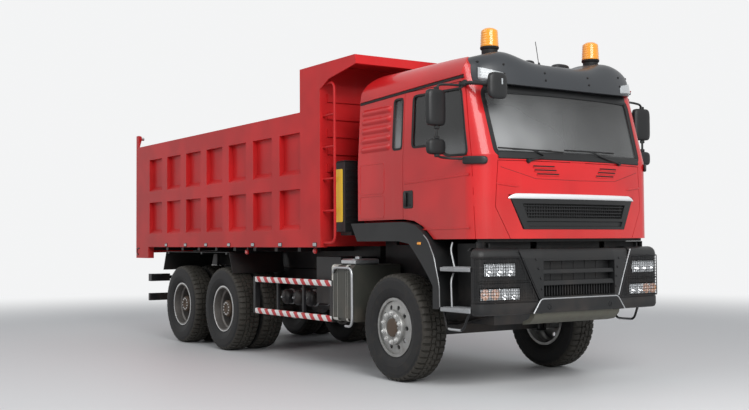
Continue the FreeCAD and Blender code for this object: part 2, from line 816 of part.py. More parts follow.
# Engine and radiator as one plain block, then the gearbox and the shafts to the rear axles
engine_band = (-1 * s.engine_half, s.engine_half)
shroud_half = s.engine_half * 2 / 3
node("engine", fuse(
    "engine_whole",
    box("engine_block", (behind(s.engine_back), ahead(s.engine_front)), engine_band,
        (s.engine_low, s.engine_top)),
    box("fan_shroud", (ahead(s.engine_front), ahead(s.radiator_front) - s.radiator_depth),
        (-1 * shroud_half, shroud_half), (s.radiator_low, s.engine_top - s.crossmember)),
    box("radiator_slab", (ahead(s.radiator_front) - s.radiator_depth, ahead(s.radiator_front)),
        (-1 * s.radiator_half, s.radiator_half), (rail_low + s.crossmember + s.knuckle_gap, s.engine_top))))
gearbox_low = s.engine_low + s.crossmember
shaft_z = (gearbox_low + s.gearbox_top) / 2
first_nose = rear_axle_places["middle"] + s.pinion_reach
first_tail = rear_axle_places["middle"] - s.differential_radius - s.crossmember
second_nose = rear_axle_places["rear"] + s.pinion_reach
node("driveline", group(
    "driveline_parts",
    fuse("gearbox_and_shaft",
         box("gearbox", (behind(s.gearbox_back), behind(s.engine_back)),
             (-1 * s.gearbox_half, s.gearbox_half), (gearbox_low, s.gearbox_top)),
         bar("main_shaft", (behind(s.gearbox_back) + s.crossmember, 0, shaft_z),
             (first_nose + s.crossmember, 0, s.tyre_radius), s.propshaft_radius),
         rod("main_joint", "X", (first_nose, 0, s.tyre_radius), s.pinion_radius, s.crossmember * 2)),
    rod("short_shaft", "X", (second_nose, 0, s.tyre_radius), s.propshaft_radius,
        first_tail - second_nose)))

# Cab volume: the same form at any depth under the paint, so that walls, glass and flap fit each other
arch_shares = ((0.28, 0.0), (0.54, 0.09), (0.74, 0.36), (0.862, 0.62))


corner_middle = s.cab_half - s.nose_corner
nose_bow = ((s.nose_sweep * s.nose_sweep + corner_middle * corner_middle - s.nose_corner * s.nose_corner)
            / (s.nose_sweep - s.nose_corner) / 2)


def nose_outline(depth, nose, back):
    """Plan of the cab: straight sides, round corners, and one wide bow across the front that meets them."""
    half = s.cab_half - depth
    bow = nose_bow - depth
    corner = s.nose_corner - depth
    reach = bow / (nose_bow - s.nose_corner)
    meet_x = nose - nose_bow + (nose_bow - s.nose_sweep) * reach
    meet_y = corner_middle * reach
    return [(back, -1 * half), (nose - s.nose_sweep, -1 * half, corner), (meet_x, -1 * meet_y, bow),
            (meet_x, meet_y, corner), (nose - s.nose_sweep, half), (back, half)]


arch_drop = s.cab_sill_z - s.cab_floor_z


def cab_underside(depth):
    """The edge over the wheel: level behind, falling round the arch to the door's foot."""
    edge = [(ahead(s.arch_front), s.cab_floor_z + depth)]
    for along, drop in reversed(arch_shares):
        edge.append((ahead(s.arch_front * along), s.cab_sill_z - arch_drop * drop + depth))
    return edge


roof_front_shares = ((0.496, 1.0), (0.688, 0.92))


def cab_volume(name, depth, under):
    """The cab's outside moved inwards by a depth, and by another underneath: three outlines in common."""
    back = behind(s.cab_back) + depth
    nose = ahead(s.cab_nose)
    over = nose + s.overrun
    roof = s.roof_z - depth
    bend = s.roof_bend - depth
    side_points = [(over, s.cab_floor_z + under)] + cab_underside(under) + [
        (back, s.cab_sill_z + under), (back, s.seam_z, -1 * bend), (back + s.roof_round, roof)]
    side_points += [(ahead(s.cab_nose * along), s.seam_z + (roof - s.seam_z) * up)
                    for along, up in roof_front_shares]
    side_points += [(nose - s.screen_lean - s.glass_inset - depth, s.seam_z), (over, s.seam_z)]
    half = s.cab_half - depth
    foot = s.cab_floor_z - s.overrun
    shoulder, crown = half - s.side_lean, half - s.roof_round
    face_points = [(half, foot), (half, s.belt_z), (shoulder, s.seam_z, bend), (crown, roof),
                   (-1 * crown, roof, bend), (-1 * shoulder, s.seam_z), (-1 * half, s.belt_z), (-1 * half, foot)]
    far_back = behind(s.cab_back) - s.screen_lean - s.overrun
    low = prism(name + "_low", "XY", nose_outline(depth, nose, far_back), s.cab_floor_z - s.overrun, s.belt_z)
    rise_above = s.seam_z - s.belt_z
    high_top = s.belt_z + rise_above * 2
    high = prism(name + "_high", "XY", nose_outline(depth, nose, far_back), s.belt_z, high_top,
                 lean=-2 * s.screen_lean)
    half_width = s.cab_half + s.overrun
    return common(
        name, fuse(name + "_stack", low, high),
        prism(name + "_side", "XZ", side_points, -1 * half_width, half_width),
        prism(name + "_face", "YZ", face_points, far_back - s.overrun, over + s.overrun))


glass_depth = s.glass_inset + s.glass_wall
seat_depth = s.flap_wall + s.panel_gap
outside = cab_volume("cab_outside", as_length(0), as_length(0))
inside = cab_volume("cab_inside", s.cab_wall, s.cab_wall)
glass_outside = cab_volume("cab_glass_outside", s.glass_inset, s.glass_inset)
glass_inside = cab_volume("cab_glass_inside", glass_depth, glass_depth)
flap_inside = cab_volume("cab_flap_inside", s.flap_wall, -1 * s.overrun)
flap_seat = cab_volume("cab_flap_seat", seat_depth, -1 * s.overrun)
shell = cut("cab_shell", outside, inside)
glazing = cut("cab_glazing", glass_outside, glass_inside)

far_left = s.cab_half + s.overrun
cab_run = (behind(s.cab_back) - s.overrun, ahead(s.cab_nose) + s.overrun)
cab_low = s.cab_floor_z - s.overrun
split_x = ahead(s.cab_nose) - s.nose_sweep
inner_half = s.cab_half - s.cab_wall
side_band = both(inner_half - s.overrun, far_left)


def door_outline(grow):
    back, front, front_top = ahead(s.door_back) - grow, ahead(s.door_front) + grow, ahead(s.door_front_top) + grow
    bend = front - (s.door_front - s.door_front_top) / 5
    return [(back, cab_low), (front, cab_low), (bend, s.belt_z),
            (front_top, s.door_top + grow), (back, s.door_top + grow)]


window_step_shares = ((1.0, 0.0), (0.63, 0.04), (0.33, 0.95), (-0.03, 1.0))


def window_outline():
    """A door window: its lower edge steps down towards the front, where the mirrors are."""
    back = ahead(s.door_back) + s.glass_inset * 3 + s.hinge_leaf
    span = ahead(s.door_front) - s.overrun - back
    step = s.window_low - s.belt_z
    low = [(back + span * (1 - along), s.window_low - step * drop) for along, drop in window_step_shares]
    return low + [(ahead(s.door_front_top) - s.cab_wall / 2, s.window_top - s.glass_inset),
                  (back, s.window_top)]


door_right_prism = prism("door_right_prism", "XZ", door_outline(as_length(0)), *side_band)
doorway_right = prism("doorway_right", "XZ", door_outline(s.panel_gap), *side_band)
window_right = prism("window_right", "XZ", window_outline(), *side_band)
quarter_right = box("quarter_right", (ahead(s.quarter_back), ahead(s.quarter_front)), side_band,
                    (s.window_low, s.window_top))
screen_shares = ((1.0, 0.0), (1.03, 0.93), (0.97, 1.0))
screen_corners = [(s.screen_half * y, s.screen_low + (s.screen_top - s.screen_low) * z)
                  for y, z in screen_shares]
screen_prism = prism("screen_prism", "YZ",
                     screen_corners + [(-1 * y, z) for y, z in reversed(screen_corners)],
                     split_x - s.overrun, ahead(s.cab_nose) + s.overrun)

floor_top = s.cab_sill_z + s.cab_wall
floor_edge = inner_half - s.panel_gap * 3
floor_run = (behind(s.cab_back) + s.cab_wall, ahead(s.cab_nose) - s.nose_sweep)
floor_block = box("cab_floor_block", floor_run, (-1 * floor_edge, floor_edge), (cab_low, floor_top))
floor_room = box("cab_floor_room", floor_run, (-1 * inner_half, inner_half),
                 (cab_low, floor_top + s.panel_gap))
door_room = box("door_floor_room", (floor_run[0], ahead(s.cab_nose) - s.nose_sweep / 2),
                (-1 * inner_half, inner_half), (cab_low, floor_top + s.panel_gap))
roof_block = box("cab_roof_block", cab_run, (-1 * far_left, far_left), (s.seam_z, s.roof_z + s.overrun))
back_block = box("cab_back_block", (cab_run[0], behind(s.cab_back) + s.cab_wall), (-1 * far_left, far_left),
                 (cab_low, s.seam_z))
front_block = box("cab_front_block", (split_x, cab_run[1]), (-1 * far_left, far_left), (cab_low, s.seam_z))
side_block = box("cab_side_block", (behind(s.cab_back) + s.cab_wall, split_x), side_band, (cab_low, s.seam_z))

arm_side = [
    (ahead(s.pivot_x) + s.cab_arm_radius, s.pivot_z), (ahead(s.pivot_x), s.pivot_z - s.cab_arm_radius),
    (ahead(s.pivot_x) - s.cab_arm_radius, s.pivot_z), (ahead(s.cab_arm_root), s.cab_floor_z),
    (ahead(s.cab_arm_root) + s.cab_arm_width, s.cab_floor_z),
]
arm_band = both(s.cab_arm_half, s.cab_arm_half + s.cab_arm_wall)
cab_arm = prism("cab_arm", "XZ", arm_side, *arm_band)
arm_bore = rod("cab_arm_bore", "Y", (ahead(s.pivot_x), -1 * far_left, s.pivot_z),
               s.pivot_radius + s.shaft_play, far_left * 2)
floor_panel = common("cab_floor_panel", shell, floor_block)
node("cab_floor", cut("cab_floor_bored",
                      fuse("cab_floor_whole", floor_panel, cab_arm, mirrored("cab_arm_left", cab_arm)), arm_bore))
node("cab_roof", common("cab_roof_panel", shell, roof_block))
node("cab_back", common("cab_back_panel", shell, back_block))
side_panel = cut("cab_side_panel", common("cab_side_whole", shell, side_block),
                 doorway_right, quarter_right, floor_room)
node("cab_sides", pair("cab_side_pair", side_panel))

# Front flap: hinged along its top edge over the grille, in a seat as deep as the flap is thick
flap_kink_share = 0.41
flap_kink = s.flap_top - (s.flap_top - s.cab_floor_z) * (1 - flap_kink_share)


def flap_outline(grow):
    low = s.cab_floor_z - s.overrun
    right = [(s.flap_low_half + grow, low), (s.flap_low_half + grow, s.cab_floor_z),
             (s.flap_half + s.panel_gap * 5 + grow, flap_kink), (s.flap_half + grow, s.flap_top + grow)]
    return right + [(-1 * y, z) for y, z in reversed(right)]


nose_run = (split_x - s.overrun, ahead(s.cab_nose) + s.overrun)
flap_prism = prism("flap_prism", "YZ", flap_outline(as_length(0)), *nose_run)
flap_room = prism("flap_room", "YZ", flap_outline(s.panel_gap), *nose_run)
grille_points = [(s.grille_low_half, s.grille_low), (s.grille_half, s.grille_top)]
grille_points += [(-1 * y, z) for y, z in reversed(grille_points)]
grille_prism = prism("grille_prism", "YZ", grille_points, *nose_run)
flap_pocket = common("flap_pocket", flap_room, cut("flap_pocket_skin", outside, flap_seat))
front_whole = common("cab_front_whole", shell, front_block)
left_doorway = mirrored("doorway_left", doorway_right)
front_panel = cut("cab_front_panel", front_whole, doorway_right, left_doorway, floor_room, screen_prism,
                  flap_pocket)
leaf_x = (ahead(s.door_front) - s.cab_wall, ahead(s.door_front) + s.cab_wall / 2)
leaves = [box("door_leaf_block_%d" % n, leaf_x, side_band, (z, z + s.hinge_leaf))
          for n, z in enumerate((s.cab_sill_z + s.hinge_leaf, s.belt_z - s.hinge_leaf * 3))]
leaf_right = cut("door_leaves", common("door_leaf_whole", shell, group("door_leaf_blocks", *leaves)),
                 prism("door_leaf_room", "XZ", door_outline(s.seat_gap), *side_band))
flap_leaf = box("flap_leaf", (ahead(s.cab_nose) - s.flap_wall, ahead(s.cab_nose) - s.flap_wall / 4),
                (-1 * s.hinge_leaf, s.hinge_leaf), (s.flap_top + s.seat_gap, s.flap_top + s.panel_gap))
node("cab_front", fuse("cab_front_whole_panel", front_panel, leaf_right, mirrored("door_leaves_left", leaf_right),
                       flap_leaf))
flap_skin = common("flap_skin", cut("flap_layer", outside, flap_inside), flap_prism)
node("front_flap", cut("flap_panel", flap_skin, grille_prism))
grille_rows = 4
grille_slot_shares = (0.65, 1.2)
grille_pitch = (s.grille_top - s.grille_low) / (grille_rows + 1)
slots = [box("grille_slot_%d" % n, nose_run, (-1 * s.grille_low_half, s.grille_low_half),
             [s.grille_low + grille_pitch * (n + share) for share in grille_slot_shares])
         for n in range(grille_rows)]
grille_skin = common("grille_skin", cut("grille_layer", outside, flap_inside), grille_prism)
node("grille", cut("grille_slats", grille_skin, *slots))

# Doors with their windows cut, and all the glass
door_whole = common("door_right_whole", shell, door_right_prism)
door_right = cut("door_right_panel", door_whole, door_room, window_right)
node("door_right", door_right)
node("door_left", mirrored("door_left_panel", door_right))
door_glass = common("door_glass_right_pane", glazing, window_right)
node("door_glass_right", door_glass)
node("door_glass_left", mirrored("door_glass_left_pane", door_glass))
quarter_glass = common("quarter_glass", glazing, quarter_right)
node("cab_glass", group("cab_panes", common("screen_glass", glazing, screen_prism), quarter_glass,
                        mirrored("quarter_glass_left", quarter_glass)))

# Visor: a hood over the windscreen, high over each side and dipped in the middle
visor_side_shares = ((0.0, 0.04), (0.0, 0.10), (0.12, 0.45), (0.35, 0.80), (0.70, 0.98), (1.0, 1.0))
visor_depth = ahead(s.visor_reach) - ahead(s.beacon_x)
visor_height = s.visor_top - s.visor_low
visor_side = [(ahead(s.visor_reach) - visor_depth * x, s.visor_low + visor_height * z)
              for x, z in visor_side_shares]
visor_side += [(ahead(s.beacon_x), s.seam_z), (ahead(s.visor_reach) - s.cab_wall, s.visor_low)]
visor_plan_shares = ((1.0, 0.75), (0.95, 0.45), (0.66, 0.07), (0.33, 0.0))
visor_plan = [(ahead(s.visor_reach) - visor_depth * x, -1 * s.visor_half * y) for y, x in visor_plan_shares]
visor_plan = ([(ahead(s.beacon_x) - s.overrun, -1 * s.visor_half)] + visor_plan
              + [(x, -1 * y) for x, y in reversed(visor_plan)] + [(ahead(s.beacon_x) - s.overrun, s.visor_half)])
visor_face_shares = ((1.0, 0.16), (1.0, 0.55), (0.93, 0.90), (0.70, 1.0))
visor_face = [(s.visor_half * 2 / 3, s.visor_low)]
visor_face += [(s.visor_half * y, s.visor_low + visor_height * z) for y, z in visor_face_shares]
visor_face += [(s.visor_half * 2 / 5, s.visor_top - s.visor_dip)]
visor_face += [(-1 * y, z) for y, z in reversed(visor_face)]
visor_solid = common(
    "visor_solid",
    prism("visor_side", "XZ", visor_side, -1 * s.visor_half, s.visor_half),
    prism("visor_plan", "XY", visor_plan, s.visor_low, s.visor_top),
    prism("visor_face", "YZ", visor_face, ahead(s.beacon_x) - s.overrun, ahead(s.visor_reach) + s.overrun))
kerb_head = box("kerb_head", (ahead(s.kerb_head_x), ahead(s.kerb_head_x) + s.kerb_head_depth),
                both(s.kerb_head_inner, s.kerb_head_outer), (s.kerb_head_low, s.kerb_head_top))
kerb_head_y = -1 * (s.kerb_head_inner + s.kerb_head_outer) / 2
kerb_head_arm = bar("kerb_head_arm", (ahead(s.beacon_x) + s.overrun, kerb_head_y, s.kerb_head_top - s.overrun / 2),
                    (ahead(s.kerb_head_x) + s.kerb_head_depth / 2, kerb_head_y, s.kerb_head_top - s.overrun / 2),
                    s.mirror_arm_radius)
node("visor", cut("visor_on_roof", fuse("visor_and_mirror", visor_solid, kerb_head, kerb_head_arm), outside))

# Beacons on the roof, each a lens on a foot
beacon_at = (ahead(s.beacon_x), -1 * s.beacon_half)
beacon_whole = fuse(
    "beacon_whole",
    rod("beacon_foot", "Z", (*beacon_at, s.seam_z), s.beacon_foot_radius, s.beacon_low - s.seam_z),
    rod("beacon_lens", "Z", (*beacon_at, s.beacon_low), s.beacon_radius, s.beacon_top - s.beacon_low))
beacon = cut("beacon_right", cut("beacon_over_visor", beacon_whole, NODES["visor"]), outside)
node("beacons", pair("beacon_pair", beacon))

# Mirrors stand off each door on one bent arm
arm_foot_x = ahead(s.mirror_x) + s.overrun
door_skin = s.cab_half - s.side_lean / 2
arm_low = (ahead(s.mirror_x), -1 * s.mirror_half, s.mirror_arm_low)
arm_top = (ahead(s.mirror_x), -1 * s.mirror_half, s.mirror_arm_top)
mirror_foot_low = (arm_foot_x, -1 * door_skin + s.cab_wall, s.mirror_arm_low)
mirror_foot_top = (ahead(s.mirror_x), -1 * door_skin + s.cab_wall, s.mirror_arm_top + s.mirror_arm_radius)
mirror_band = both(s.mirror_half - s.mirror_width / 2, s.mirror_half + s.mirror_width / 2)
mirror_run = (ahead(s.mirror_x) - s.mirror_depth, ahead(s.mirror_x) + s.mirror_arm_radius)
mirror_whole = fuse(
    "mirror_whole",
    bar("mirror_arm_low", mirror_foot_low, arm_low, s.mirror_arm_radius),
    bar("mirror_arm_post", arm_low, arm_top, s.mirror_arm_radius),
    bar("mirror_arm_top", arm_top, mirror_foot_top, s.mirror_arm_radius),
    box("mirror_main", mirror_run, mirror_band, (s.mirror_low, s.mirror_high)),
    box("mirror_kerb", mirror_run, mirror_band, (s.kerb_mirror_low, s.kerb_mirror_high)))
mirror_right = cut("mirror_right_set", mirror_whole, outside)
node("mirror_right", mirror_right)
node("mirror_left", mirrored("mirror_left_set", mirror_right))

# Dashboard against the front wall, with the steering wheel on its column, and two seats
dash_block = box("dash_block", (ahead(s.dash_back), ahead(s.cab_nose)), (-1 * s.dash_half, s.dash_half),
                 (s.dash_low, s.dash_top))
steering_hub = (ahead(s.steering_x), s.seat_half, s.steering_z)
column_foot = (ahead(s.dash_back) + s.cab_wall, s.seat_half, (s.dash_low + s.dash_top) / 2)
wheel_ring = doc.addObject("Part::Torus", "steering_ring")
bind(wheel_ring, "Radius1", s.steering_radius)
bind(wheel_ring, "Radius2", s.steering_grip)
column_run = FreeCAD.Vector(*[as_length(a).value - as_length(b).value for a, b in zip(steering_hub, column_foot)])
wheel_ring.Placement.Rotation = FreeCAD.Rotation(FreeCAD.Vector(0, 0, 1), column_run)
place(wheel_ring, *steering_hub)
spoke_reach = s.steering_radius
spoke = rod("steering_spoke", "Y", (steering_hub[0], steering_hub[1] - spoke_reach, steering_hub[2]),
            s.steering_grip, spoke_reach * 2)
node("dashboard", fuse("dashboard_whole", common("dash_body", dash_block, inside), wheel_ring, spoke,
                       bar("steering_column", steering_hub, column_foot, s.steering_grip * 2)))
seat_shares = ((-0.35, 0.0), (0.30, 0.0), (0.30, 0.20), (0.50, 0.28), (0.50, 0.38), (-0.20, 0.36),
               (-0.45, 1.0), (-0.65, 0.97), (-0.42, 0.30))
seat_reach_share = 1.15
seat_reach = s.seat_width * seat_reach_share
seat_height = s.window_top - floor_top
seat_points = [(front_axle + seat_reach * x, floor_top + seat_height * z) for x, z in seat_shares]
seat = prism("seat", "XZ", seat_points, *both(s.seat_half - s.seat_width / 2, s.seat_half + s.seat_width / 2))
node("seats", pair("seat_pair", seat))

# Bumper: one swept skin with openings for the lamps and the air intake
bumper_nose = ahead(s.front_overhang)
bumper_sweep = s.front_overhang - s.bumper_corner_x
bumper_plan_shares = ((1.0, 1.0), (0.975, 0.72), (0.875, 0.54), (0.625, 0.48), (0.5, 0.30), (0.41, 0.0))


def bumper_volume(name, depth):
    half = s.bumper_half - depth
    back = ahead(s.bumper_side_x)
    right = [(bumper_nose - depth - bumper_sweep * x, -1 * half * y) for y, x in bumper_plan_shares]
    points = [(back, -1 * half)] + right + [(x, -1 * y) for x, y in reversed(right)] + [(back, half)]
    return prism(name, "XY", points, s.skid_low - s.overrun, s.bumper_top + s.overrun)


bumper_face_shares = ((0.5, 0.0), (0.52, 0.14), (1.0, 0.16), (1.0, 0.80), (0.95, 0.99), (0.72, 1.0))
bumper_rise = s.bumper_top - s.skid_low
bumper_face = [(s.bumper_half * y, s.skid_low + bumper_rise * z) for y, z in bumper_face_shares]
bumper_face.append((s.bumper_half * 3 / 5, s.bumper_mid_top))
bumper_face += [(-1 * y, z) for y, z in reversed(bumper_face)]
bumper_run = (ahead(s.bumper_side_x) - s.overrun, bumper_nose + s.overrun)
bumper_outline = prism("bumper_outline", "YZ", bumper_face, *bumper_run)
bumper_skin = cut("bumper_skin", bumper_volume("bumper_outside", as_length(0)),
                  bumper_volume("bumper_inside", s.bumper_wall))
headlamp_room = box("headlamp_room", bumper_run, both(s.lamp_inner, s.lamp_outer),
                    (s.headlamp_low, s.headlamp_top))
fog_room = box("fog_room", bumper_run, both(s.lamp_inner, s.lamp_outer), (s.fog_low, s.fog_top))
intake_half = s.bumper_half / 2
intake_rows = 4
intake_slot_shares = (0.35, 1.0)
intake_pitch = (s.bumper_mid_top - s.fog_low) / (intake_rows + 1)
intakes = [box("intake_%d" % n, bumper_run, (-1 * intake_half, intake_half),
               [s.fog_low + intake_pitch * (n + share) for share in intake_slot_shares])
           for n in range(intake_rows)]
bracket_low = rail_low + s.crossmember / 4
bracket_band = both(s.frame_half - s.rail_flange, s.frame_half)
bumper_bracket = box("bumper_bracket", (ahead(s.frame_nose), bumper_nose - s.bumper_wall), bracket_band,
                     (bracket_low, bracket_low + s.crossmember))
bumper_body = common("bumper_body", bumper_skin, bumper_outline)
step_x = (ahead(s.fender_front) + s.step_wall, ahead(s.step_front))
step_panel = box("step_panel", step_x, both(s.step_inner - s.step_wall, s.step_inner),
                 (s.bumper_low, s.bumper_top))
step_bracket = box("step_bracket", (step_x[1] - s.crossmember * 2, step_x[1] - s.crossmember),
                   both(s.frame_half, s.step_inner), (bracket_low, bracket_low + s.crossmember))
treads = [box("step_tread_%d" % n, step_x, both(s.step_inner, s.bumper_half), (top - s.step_tread, top))
          for n, top in enumerate((s.step_upper_z, s.step_lower_z))]
bumper_pieces = [bumper_body, bumper_bracket, mirrored("bumper_bracket_left", bumper_bracket)]
lamp_rooms = [headlamp_room, fog_room]
lamp_rooms += [mirrored(item.Name + "_left", item) for item in lamp_rooms]
node("bumper", cut("bumper_open", fuse("bumper_whole", *bumper_pieces), *lamp_rooms, *intakes))
steps_right = fuse("steps_right", step_panel, step_bracket, *treads)
node("steps", pair("step_pair", steps_right))
lamp_layer = cut("lamp_layer", bumper_volume("lamp_outside", s.lamp_recess),
                 bumper_volume("lamp_inside", s.bumper_wall))
lamps_right = group("lamps_right", common("headlamp_right", lamp_layer, headlamp_room),
                    common("fog_lamp_right", lamp_layer, fog_room))
node("headlamps", pair("headlamp_pairs", lamps_right))

# Front fenders: a sheet over each wheel with a deep flange on its outer side
fender_lip_shares = ((-0.85, 1.0), (0.315, 1.0), (0.548, 0.957), (0.692, 0.869), (0.793, 0.782),
                     (0.891, 0.662), (0.958, 0.495), (0.986, 0.377), (1.0, 0.0))
fender_edge_shares = ((-0.85, 1.0), (0.24, 1.0), (0.50, 0.96), (0.60, 0.87), (0.80, 0.66), (0.97, 0.46),
                      (1.06, 0.33), (1.06, 0.0))


def fender_curve(shares, depth, top, front):
    return [(ahead((front - depth) * along), s.fender_low + (top - depth - s.fender_low) * up)
            for along, up in shares]


lip = fender_curve(fender_lip_shares, as_length(0), s.fender_top, s.fender_front)
under = fender_curve(fender_lip_shares, s.fender_wall, s.fender_top, s.fender_front)
edge = fender_curve(fender_edge_shares, as_length(0), s.fender_top - s.fender_flange,
                    s.fender_front - s.fender_flange * 3 / 4)
fender_sheet = prism("fender_sheet", "XZ", lip + list(reversed(under)),
                     *both(s.fender_inner_half, s.bumper_half))
fender_flange = prism("fender_flange", "XZ", lip + list(reversed(edge)),
                      *both(s.bumper_half - s.fender_wall, s.bumper_half))
stay_x = behind(s.fender_back) + s.crossmember
stay_top = s.fender_top - s.fender_wall - s.knuckle_gap / 3
stay_post = box("fender_stay_post", (stay_x, stay_x + s.crossmember / 2),
                both(s.frame_half, s.frame_half + s.crossmember / 2), (s.rail_top - s.crossmember, stay_top))
stay_arm = box("fender_stay_arm", (stay_x, stay_x + s.crossmember / 2),
               both(s.frame_half, s.bumper_half - s.fender_wall),
               (stay_top - s.crossmember / 2, s.fender_top - s.fender_wall))
front_stay_x = ahead(s.fender_front) - s.fender_wall - s.crossmember / 2
front_stay = box("fender_front_stay", (front_stay_x, front_stay_x + s.crossmember / 2 + s.fender_wall / 2),
                 both(s.frame_half, s.bumper_half - s.fender_wall),
                 (s.rail_top - s.crossmember * 2, s.rail_top - s.crossmember))
fender_right = fuse("fender_right", fender_sheet, fender_flange, stay_post, stay_arm, front_stay)
node("fenders", pair("fender_pair", fender_right))

# Side guards: two rails a side, each post carried from the frame
guard_band = both(s.guard_half - s.guard_wall, s.guard_half)
guard_run = (behind(s.guard_back), behind(s.guard_front))
guard_rails = [box("guard_rail_%d" % n, guard_run, guard_band, (low, low + s.guard_height))
               for n, low in enumerate((s.guard_upper_low, s.guard_lower_low))]
post_places = (guard_run[0] + s.guard_post * 3, (guard_run[0] + guard_run[1]) / 2 - s.guard_post * 4)
post_band = both(s.guard_half - s.guard_wall - s.guard_post, s.guard_half - s.guard_wall)
guard_posts = [box("guard_post_%d" % n, (x, x + s.guard_post), post_band,
                   (s.guard_lower_low, s.guard_upper_low + s.guard_height)) for n, x in enumerate(post_places)]
guard_arms = [box("guard_arm_%d" % n, (x, x + s.guard_post),
                  both(s.frame_half, s.guard_half - s.guard_wall - s.guard_post),
                  (s.guard_upper_low, s.guard_upper_low + s.guard_post)) for n, x in enumerate(post_places)]
guard_right = fuse("guard_right", *guard_rails, *guard_posts, *guard_arms)
node("side_guards", pair("guard_pair", guard_right))

# Tanks: a framed tank behind the right front wheel, air tanks, and the fuel tank on the left
tank_bevel = s.crossmember
tank_front, tank_back = behind(s.tank_front), behind(s.tank_back)


def tank(name, back, front, low, top, inner, outer):
    """A tank seen from its end as a square with cut corners, hung from the frame on two arms."""
    bevel = tank_bevel / 2
    points = [(inner, low), (outer - bevel, low), (outer, low + bevel), (outer, top - bevel),
              (outer - bevel, top), (inner, top)]
    body = prism(name + "_body", "YZ", [(-1 * y, z) for y, z in points], back, front)
    shelf_low = rail_low + s.crossmember
    arms = [box("%s_arm_%d" % (name, n), (x, x + s.guard_post), both(s.frame_half, inner),
                (shelf_low, shelf_low + s.guard_post))
            for n, x in enumerate((back + s.guard_post, front - s.guard_post * 2))]
    return fuse(name, body, *arms)


square_tank = tank("square_tank", tank_back, tank_front, s.tank_low, s.tank_top, s.tank_inner, s.tank_half)
fuel_tank = mirrored("fuel_tank", tank("fuel_tank_shape", behind(s.fuel_back), tank_front, s.tank_low,
                                       s.tank_top, s.tank_inner, s.guard_half - s.guard_wall * 3))
node("tanks", group("tank_group", square_tank, fuel_tank))
air_start = behind(s.battery_back) - s.air_tank_radius * 2
air_length = s.tank_half - s.tank_inner - s.guard_post * 3
air_tanks = []
for number in range(3):
    x = air_start - s.air_tank_pitch * number
    air_tanks.append(rod("air_tank_%d" % number, "Y", (x, -1 * s.tank_inner - air_length, s.air_tank_z),
                         s.air_tank_radius, air_length))
air_shelf = box("air_shelf", (air_start - s.air_tank_pitch * 2 - s.air_tank_radius, air_start + s.air_tank_radius),
                both(s.frame_half, s.tank_inner + s.crossmember),
                (s.air_tank_z + s.air_tank_radius * 2 / 3, s.air_tank_z + s.air_tank_radius + s.guard_post / 2))
node("air_tanks", fuse("air_tank_set", *air_tanks, air_shelf))
battery_run = (behind(s.battery_back), tank_back - s.crossmember)
node("battery_box", fuse(
    "battery_box_whole",
    box("battery_case", battery_run, both(s.tank_inner, s.tank_half - s.guard_post * 3),
        (s.tank_low + s.crossmember * 2, s.tank_top + s.crossmember)),
    box("battery_shelf", (battery_run[0] + s.crossmember, battery_run[1] - s.crossmember),
        both(s.frame_half, s.tank_inner), (rail_low + s.crossmember, rail_low + s.crossmember * 2))))

# Rear mudguards: a bent sheet over each pair of twins, on brackets from the frame
guard_front_x = rear_axle_places["middle"] + s.mudguard_reach / 2
guard_rear_x = rear_axle_places["rear"] - s.mudguard_reach


def mudguard_line(depth):
    flare = s.mudguard_flare
    return [(guard_rear_x, s.mudguard_low), (guard_rear_x + flare, s.mudguard_top - depth),
            (guard_front_x - flare, s.mudguard_top - depth), (guard_front_x, s.mudguard_low)]


outer_line = mudguard_line(as_length(0))
inner_line = [(x + s.mudguard_wall * (1 if n < 2 else -1), z)
              for n, (x, z) in enumerate(mudguard_line(s.mudguard_wall))]
mudguard_sheet = prism("mudguard_sheet", "XZ", outer_line + list(reversed(inner_line)),
                       *both(s.mudguard_inner, s.mudguard_half))
mudguard_arm_top = s.mudguard_top - s.mudguard_wall
mudguard_arms = []
for number, x in enumerate((bogie_middle, guard_rear_x + s.mudguard_flare * 3 / 2,
                            guard_front_x - s.mudguard_flare * 2)):
    mudguard_arms.append(box("mudguard_arm_%d" % number, (x, x + s.guard_post),
                             both(s.frame_half, s.mudguard_half),
                             (mudguard_arm_top - s.guard_post / 2, mudguard_arm_top)))
    mudguard_arms.append(box("mudguard_leg_%d" % number, (x, x + s.guard_post),
                             both(s.frame_half, s.frame_half + s.rail_wall * 2),
                             (s.rail_top - s.crossmember, mudguard_arm_top)))
mudguard_right = fuse("mudguard_right", mudguard_sheet, *mudguard_arms)
node("rear_mudguards", pair("mudguard_pair", mudguard_right))

# Rear underrun bar and lamp boxes, on legs from the frame's tail
bar_x = (frame_tail, frame_tail + s.underrun_depth)
underrun_leg = box("underrun_leg", (bar_x[0], bar_x[1]), both(s.frame_half - s.rail_flange, s.frame_half),
                   (s.underrun_z, rail_low))
lamp_box = box("rear_lamp_box", (frame_tail, frame_tail + s.underrun_depth * 2),
               both(s.bumper_half - s.rear_lamp_width, s.bumper_half),
               (s.rear_lamp_z - s.rear_lamp_height / 2, s.rear_lamp_z + s.rear_lamp_height / 2))
lamp_arm = box("rear_lamp_arm", bar_x, both(s.frame_half, s.bumper_half - s.rear_lamp_width),
               (s.rear_lamp_z - s.guard_post / 2, s.rear_lamp_z + s.guard_post / 2))
tow_half = s.crossmember
tow_jaw = box("tow_jaw", (bar_x[0] - s.underrun_depth, bar_x[1]), (-1 * tow_half, tow_half),
              (s.underrun_z, s.underrun_z + s.underrun_height))
tow_bore = rod("tow_bore", "Z", (bar_x[0] - s.underrun_depth / 2, 0, s.underrun_z - s.overrun),
               s.tow_pin_radius, s.underrun_height + s.overrun * 2)
underrun_bar = box("underrun_bar", bar_x, (-1 * s.underrun_half, s.underrun_half),
                   (s.underrun_z - s.underrun_height / 2, s.underrun_z + s.underrun_height / 2))
rear_right = [underrun_leg, lamp_box, lamp_arm]
